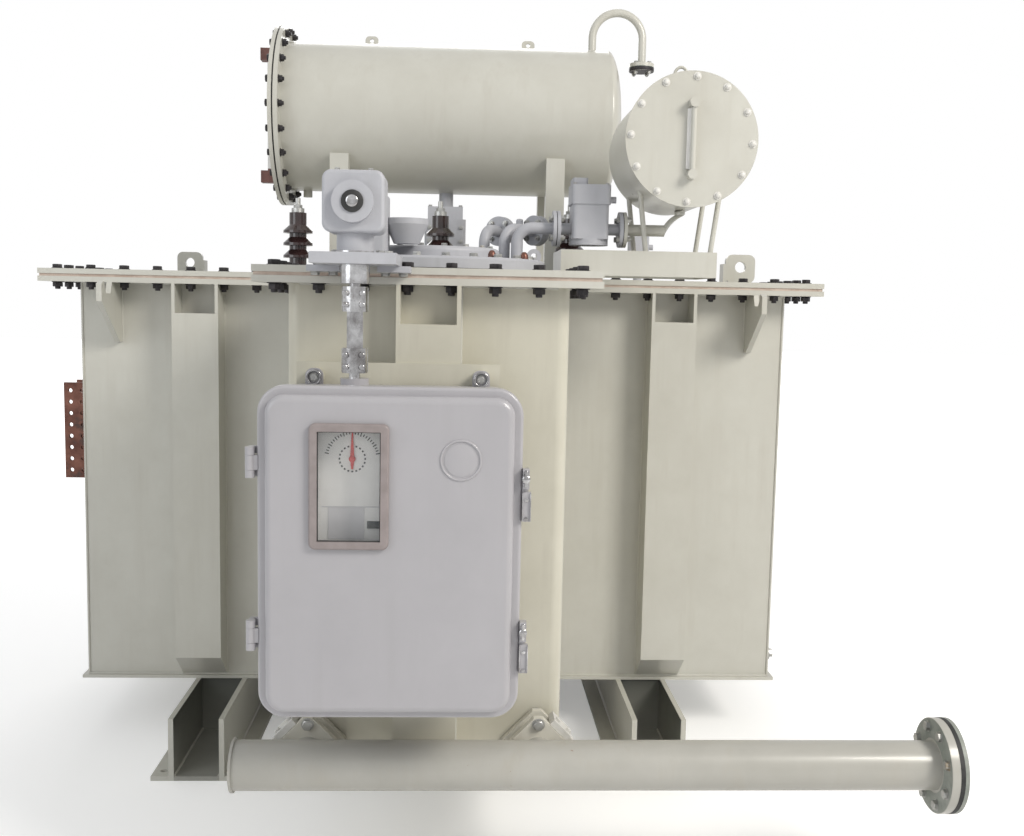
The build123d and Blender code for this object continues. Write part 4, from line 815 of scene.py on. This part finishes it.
def makeSmallBolts():
    zinc = Build()

    def square(centre, side, up, radius, axis, size, grip=0.0):
        for at in around(centre, side, up, radius, 4, 0.5):
            zinc.bolt(at, axis, size, grip)

    def four(centre, side, up, axis, size):
        for at in corners(centre, side, up):
            zinc.bolt(at, axis, size)

    foot = bushingFeet
    for x in foot["places"]:
        square((x, foot["y"], coverHigh.z + foot["level"]), yWay, xWay, foot["circle"], zWay, foot["bolt"])
        zinc.turned((x, foot["y"], coverHigh.z + foot["nutLevel"]), zWay, foot["nut"], 6)
    w, d = supportFeet["half"]
    for x in supportFeet["places"]:
        centre = (x, supportFeet["y"], coverHigh.z + supportFeet["level"])
        four(centre, (w, 0, 0), (0, d, 0), zWay, supportFeet["bolt"])
    for x, y, turn in elbowEnds["places"]:
        heading = Vector((math.cos(math.radians(turn)), math.sin(math.radians(turn)), 0))
        centre = Vector((x, y, headRelay["z"])) + heading * elbowEnds["out"]
        side = Vector((-heading.y, heading.x, 0))
        square(centre, zWay, side, elbowEnds["circle"], heading, elbowEnds["bolt"], elbowEnds["grip"])
    relay = headRelay
    for x in relay["faces"]:
        square((x, relay["y"], relay["z"]), zWay, yWay, relay["circle"], -xWay, relay["bolt"], relay["grip"])
    low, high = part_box("terminal_board")
    middle, (inY, inZ) = (low + high) / 2, boardBolts["inset"]
    sides, ends = (low.y + inY, high.y - inY), (low.z + inZ, high.z - inZ)
    for y, z in [(y, z) for y in (*sides, middle.y) for z in ends] + [(y, middle.z) for y in sides]:
        zinc.bolt((low.x, y, z), -xWay, boardBolts["bolt"])
    rings = Build()
    for x in ears["places"]:
        zinc.bolt((x, ears["y"], ears["z"]), -yWay, ears["bolt"])
        rings.sleeve((x, ears["y"], ears["z"]), -yWay, *ears["ring"])
    w, d = relay["half"]
    four((relay["x"], relay["y"], relay["top"]), (w, 0, 0), (0, d, 0), zWay, relay["topBolt"])
    for at in around((relay["x"], relay["y"], relayLow.z), yWay, xWay, relay["footCircle"], 8, 0.5):
        zinc.bolt(at, -zWay, relay["topBolt"])
    (w, d), (side, rise) = mainRelay["half"], mainRelay["frontHalf"]
    four((mainRelay["x"], mainRelay["y"], mainRelay["top"]), (w, 0, 0), (0, d, 0), zWay, mainRelay["bolt"])
    centre = (mainRelay["x"], mainRelay["front"], mainRelay["level"])
    four(centre, (side, 0, 0), (0, 0, rise), -yWay, mainRelay["bolt"])
    w, d = boxScrews["half"]
    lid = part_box("terminal_box")[1].z
    four((boxScrews["x"], boxScrews["y"], lid), (w, 0, 0), (0, d, 0), zWay, boxScrews["bolt"])
    centre = (breather["x"], breather["y"], breather["z"])
    square(centre, yWay, xWay, breather["circle"], zWay, breather["bolt"], breather["grip"])
    zinc.done("smallBolts", "zinc", "tank")
    rings.done("mountingRings", "bright", "tank", bevel=0.0008)
    print("small bolts made")


makeSmallBolts()

# The level gauges of both conservators
gauge = {
    "blocks": 0.2, "half": 0.014, "screwIn": 0.0045, "screw": 0.005,
    "tubeOut": 0.040, "tubeHalf": 0.175, "tube": ((0, 0.007), (0.350, 0.007)),
    "strip": (0.0362, (0.0272, 0.0352, 0.352)),
    "marks": 17, "lowest": -0.160, "pitch": 0.020, "markIn": 0.0222, "left": -0.012, "mark": 0.012, "longMark": 0.020,
    "ink": (0.0006, 0.0016),
}
smallGauge = {
    "strip": ((-0.0092, -0.0088, 0), (0.0112, 0.0068, 0.152)),
    "out": 0.0120, "half": 0.078, "tube": ((0, 0.0074), (0.156, 0.0074)),
}


def makeGauges():
    screws = Build()
    half = gauge["half"]
    for level in (-gauge["blocks"], gauge["blocks"]):
        centre = (gaugeLow.x + gauge["screwIn"], endMiddle.y, endMiddle.z + level)
        for at in corners(centre, (0, half, 0), (0, 0, half)):
            screws.bolt(at, -xWay, gauge["screw"])
    screws.done("gaugeScrews", "zinc", "tank")
    glass = Build()
    glass.turned((endLow.x - gauge["tubeOut"], endMiddle.y, endMiddle.z - gauge["tubeHalf"]), zWay, gauge["tube"], 16)
    glass.done("gaugeTube", "glass", "tank")
    strip = Build()
    out, size = gauge["strip"]
    strip.block((gaugeLow.x + out, endMiddle.y, endMiddle.z), size)
    place, size = smallGauge["strip"]
    strip.block(smallMiddle + Vector(place), size)
    strip.done("gaugeStrips", "white", "tank", bevel=0.001)
    tube = Build()
    tube.turned(smallMiddle - Vector((0, smallGauge["out"], smallGauge["half"])), zWay, smallGauge["tube"], 20)
    tube.done("smallGaugeTube", "pale", "tank")
    marks = Build()
    depth, tall = gauge["ink"]
    for i in range(gauge["marks"]):
        wide = gauge["mark"] if i % 4 else gauge["longMark"]
        y, z = endMiddle.y + gauge["left"] + wide / 2, endMiddle.z + gauge["lowest"] + i * gauge["pitch"]
        marks.block((gaugeLow.x + gauge["markIn"], y, z), (depth, wide, tall))
    marks.done("gaugeMarks", "ink", "tank")
    print("gauges made")


def makeBreather():
    for name, finish, slot, row in (
        ("breatherPlate", "black", "zinc_steel", "plate"),
        ("breatherSeal", "green", "gasket_rubber", "seal"),
    ):
        run = Build()
        under, profile = breather[row]
        run.turned((breather["x"], breather["y"], breather["z"] - under), zWay, profile, 40)
        run.done(name, finish, "tank")


makeGauges()
makeBreather()

# The seals and plugs of the tap changer's head
headSeals = {
    "foot": (0.0002, ((0, 0.2965), (0.0045, 0.2965), (0.005, 0.295))), "lid": ((0, 0.177), (0.0025, 0.177)),
    "plugs": ((0.150, -1.215), (0.235, -1.150)),
    "plug": ((0, 0.010), (0.010, 0.010), (0.016, 0.007), (0.019, 0.004)),
}


def makeHeadSeals():
    run = Build()
    lift, profile = headSeals["foot"]
    run.turned((0, headMiddle.y, coverHigh.z + lift), zWay, profile, 96)
    for x in headRelay["seals"]:
        run.turned((x, headRelay["y"], headRelay["z"]), xWay, headRelay["seal"], 40)
    run.turned(headMiddle, zWay, headSeals["lid"], 96)
    run.done("headSeals", "rubber", "tank")


def makeHeaderFlange():
    seal, face, pads = header["seal"], header["face"], header["pads"]
    rim = (blindHigh.z - blindLow.z) / 2
    run = Build()
    back = (blindLow.x - seal["back"], headerMiddle.y, headerMiddle.z)
    run.sleeve(back, xWay, rim - seal["inside"], rim + seal["outside"], seal["length"], 64)
    run.done("blindGasket", "rubber", "tank")
    # A dark ring on the back face of the pipe's flange is painted shade; the pads on the blind's face stand for the
    # bolt ends
    run = Build()
    back = (headerBack - face["back"], headerMiddle.y, headerMiddle.z)
    run.sleeve(back, xWay, face["bore"], rim - face["inside"], face["length"], 64)
    radius, count, *_, first = boltCircles["header"]
    for at in around((blindHigh.x - pads["in"], headerMiddle.y, headerMiddle.z), yWay, zWay, radius, count, first):
        run.turned(at, xWay, pads["profile"], 6)
    run.done("headerFlangeShadeAndPads", "blind", "tank")


# The lock plates on the valves' upper outer corners
valveLocks = {
    "y": -1.428, "out": 0.0765, "size": (0.058, 0.060, 0.016), "bolt": 0.008, "boltsAt": 0.019, "boltFront": 0.014,
    "stopAt": 0.032, "stopFront": 0.010, "stop": ((0, 0.006), (0.010, 0.006), (0.012, 0.004)),
}


def makeValveLocks():
    run = Build()
    for side in (-1, 1):
        out, along = Vector((side, 0, 1)).normalized(), Vector((side, 0, -1)).normalized()
        middle = Vector((side * header["valveSide"], valveLocks["y"], headerMiddle.z)) + out * valveLocks["out"]
        run.block(middle, valveLocks["size"], Matrix.Rotation(side * math.radians(45), 3, "Y"))
        top = out * (valveLocks["size"][2] / 2) - yWay * valveLocks["boltFront"]
        for end in (-1, 1):
            run.bolt(middle + along * end * valveLocks["boltsAt"] + top, out, valveLocks["bolt"])
        stop = middle + along * valveLocks["stopAt"] - yWay * valveLocks["stopFront"]
        run.turned(stop, along, valveLocks["stop"], 12)
    run.done("valveLocks", "pale", "tank", bevel=0.0015)


shellEye = {"x": -0.030, "behind": 0.016, "z": 0.162, "half": 0.017, "rise": 0.022, "radius": 0.004, "steps": 12}


def makeShellEye():
    run = Build()
    points = []
    for i in range(shellEye["steps"] + 1):
        a = math.pi * i / shellEye["steps"]
        x, z = shellEye["half"] * math.cos(a), shellEye["rise"] * math.sin(a)
        points.append((smallMiddle.x + shellEye["x"] + x, smallHigh.y + shellEye["behind"],
                       smallMiddle.z + shellEye["z"] + z))
    run.tube(points, shellEye["radius"], 10, up=yWay)
    run.done("smallShellEye", "tank", "tank", smooth=80)


def makeHeadPlugs():
    run = Build()
    for place in headSeals["plugs"]:
        run.turned((*place, headMiddle.z), zWay, headSeals["plug"], 16)
    run.done("headPlugs", "copper", "tank")
    print("overlays made")


makeHeadSeals()
makeHeaderFlange()
makeValveLocks()
makeShellEye()
makeHeadPlugs()

# Studio: pale floor and backdrop, soft lamps and the camera of the photograph
studio = {
    "focal": 1105.0, "width": 1024.0, "sensor": 36.0,
    "at": (0.074, -4.016, 1.439), "yaw": 0.048, "pitch": -0.106, "roll": 0.020,
    "floorSize": 30.0, "floor": (0.90, 0.90, 0.90), "lift": 0.25, "farLift": 0.75, "liftFrom": 2.6, "liftOver": 5.0,
    "world": 0.58, "glossy": 0.35, "aim": (0, -0.3, 1.0),
    "lamps": (
        ("keyLamp", (4.0, -4.6, 4.6), 268.0, 2.0, (1.0, 0.96, 0.895)),
        ("fillLamp", (-4.4, -4.4, 3.0), 70.0, 3.4, (0.92, 0.96, 1.0)),
        ("rearLamp", (-0.5, 4.6, 4.4), 105.0, 3.6, (1.0, 1.0, 1.0)),
    ),
}


# The floor is white far from the object and keeps its shadow near it
def makeFloor():
    floorMesh = bpy.data.meshes.new("floor")
    size = studio["floorSize"]
    outline = [(-size, -size, 0), (size, -size, 0), (size, size, 0), (-size, size, 0)]
    floorMesh.from_pydata(outline, [], [(0, 1, 2, 3)])
    floor = bpy.data.objects.new("floor", floorMesh)
    scene.collection.objects.link(floor)
    f = Finish("floorWhite")
    seen = f.place.node("ShaderNodeLightPath")
    reach = f.place.node("ShaderNodeVectorMath", {"operation": "LENGTH"}, {0: f.place}, out=1)
    far = reach.above(studio["liftFrom"], studio["liftOver"])
    lift = seen * (far * studio["farLift"] + studio["lift"])
    f.set(Base_Color=(*studio["floor"], 1.0), Roughness=0.9, Emission_Color=lift, Emission_Strength=1.0)
    floorMesh.materials.append(f.material)


# White to the camera and through glass, dimmer as a light
def makeWorld():
    world = bpy.data.worlds.new("studio")
    scene.world = world
    world.use_nodes = True
    tree = world.node_tree
    back = tree.nodes["Background"]
    back.inputs[0].default_value = (1, 1, 1, 1)
    path = tree.nodes.new("ShaderNodeLightPath")
    straight = Field(tree, path.outputs["Is Camera Ray"])
    glossy = Field(tree, path.outputs["Is Glossy Ray"])
    through = Field(tree, path.outputs["Is Transmission Ray"])
    seen = (straight + glossy * studio["glossy"] + through).clamp()
    strength = seen * (1.0 - studio["world"]) + studio["world"]
    tree.links.new(strength.socket, back.inputs[1])


def makeLamps():
    for name, place, energy, size, tint in studio["lamps"]:
        data = bpy.data.lights.new(name, "AREA")
        data.color = tint
        data.energy = energy
        data.size = size
        lamp = bpy.data.objects.new(name, data)
        lamp.location = place
        lamp.rotation_euler = (Vector(studio["aim"]) - Vector(place)).to_track_quat("-Z", "Y").to_euler()
        scene.collection.objects.link(lamp)


# The camera fitted to the photograph: focal length in pixels, turn about Z, tilt, then roll
def makeCamera():
    data = bpy.data.cameras.new("camera")
    data.sensor_width = studio["sensor"]
    data.lens = studio["focal"] / studio["width"] * studio["sensor"]
    camera = bpy.data.objects.new("camera", data)
    scene.collection.objects.link(camera)
    cy, sy = math.cos(studio["yaw"]), math.sin(studio["yaw"])
    cp, sp = math.cos(studio["pitch"]), math.sin(studio["pitch"])
    forward = Vector((sy * cp, cy * cp, sp))
    right = Vector((cy, -sy, 0))
    up = right.cross(forward)
    cr, sr = math.cos(studio["roll"]), math.sin(studio["roll"])
    right, up = cr * right + sr * up, -sr * right + cr * up
    turn = Matrix((right, up, -forward)).transposed()
    camera.matrix_world = Matrix.Translation(Vector(studio["at"])) @ turn.to_4x4()
    scene.camera = camera


makeFloor()
makeWorld()
makeLamps()
makeCamera()
scene.view_settings.view_transform = "Standard"
print("studio made")
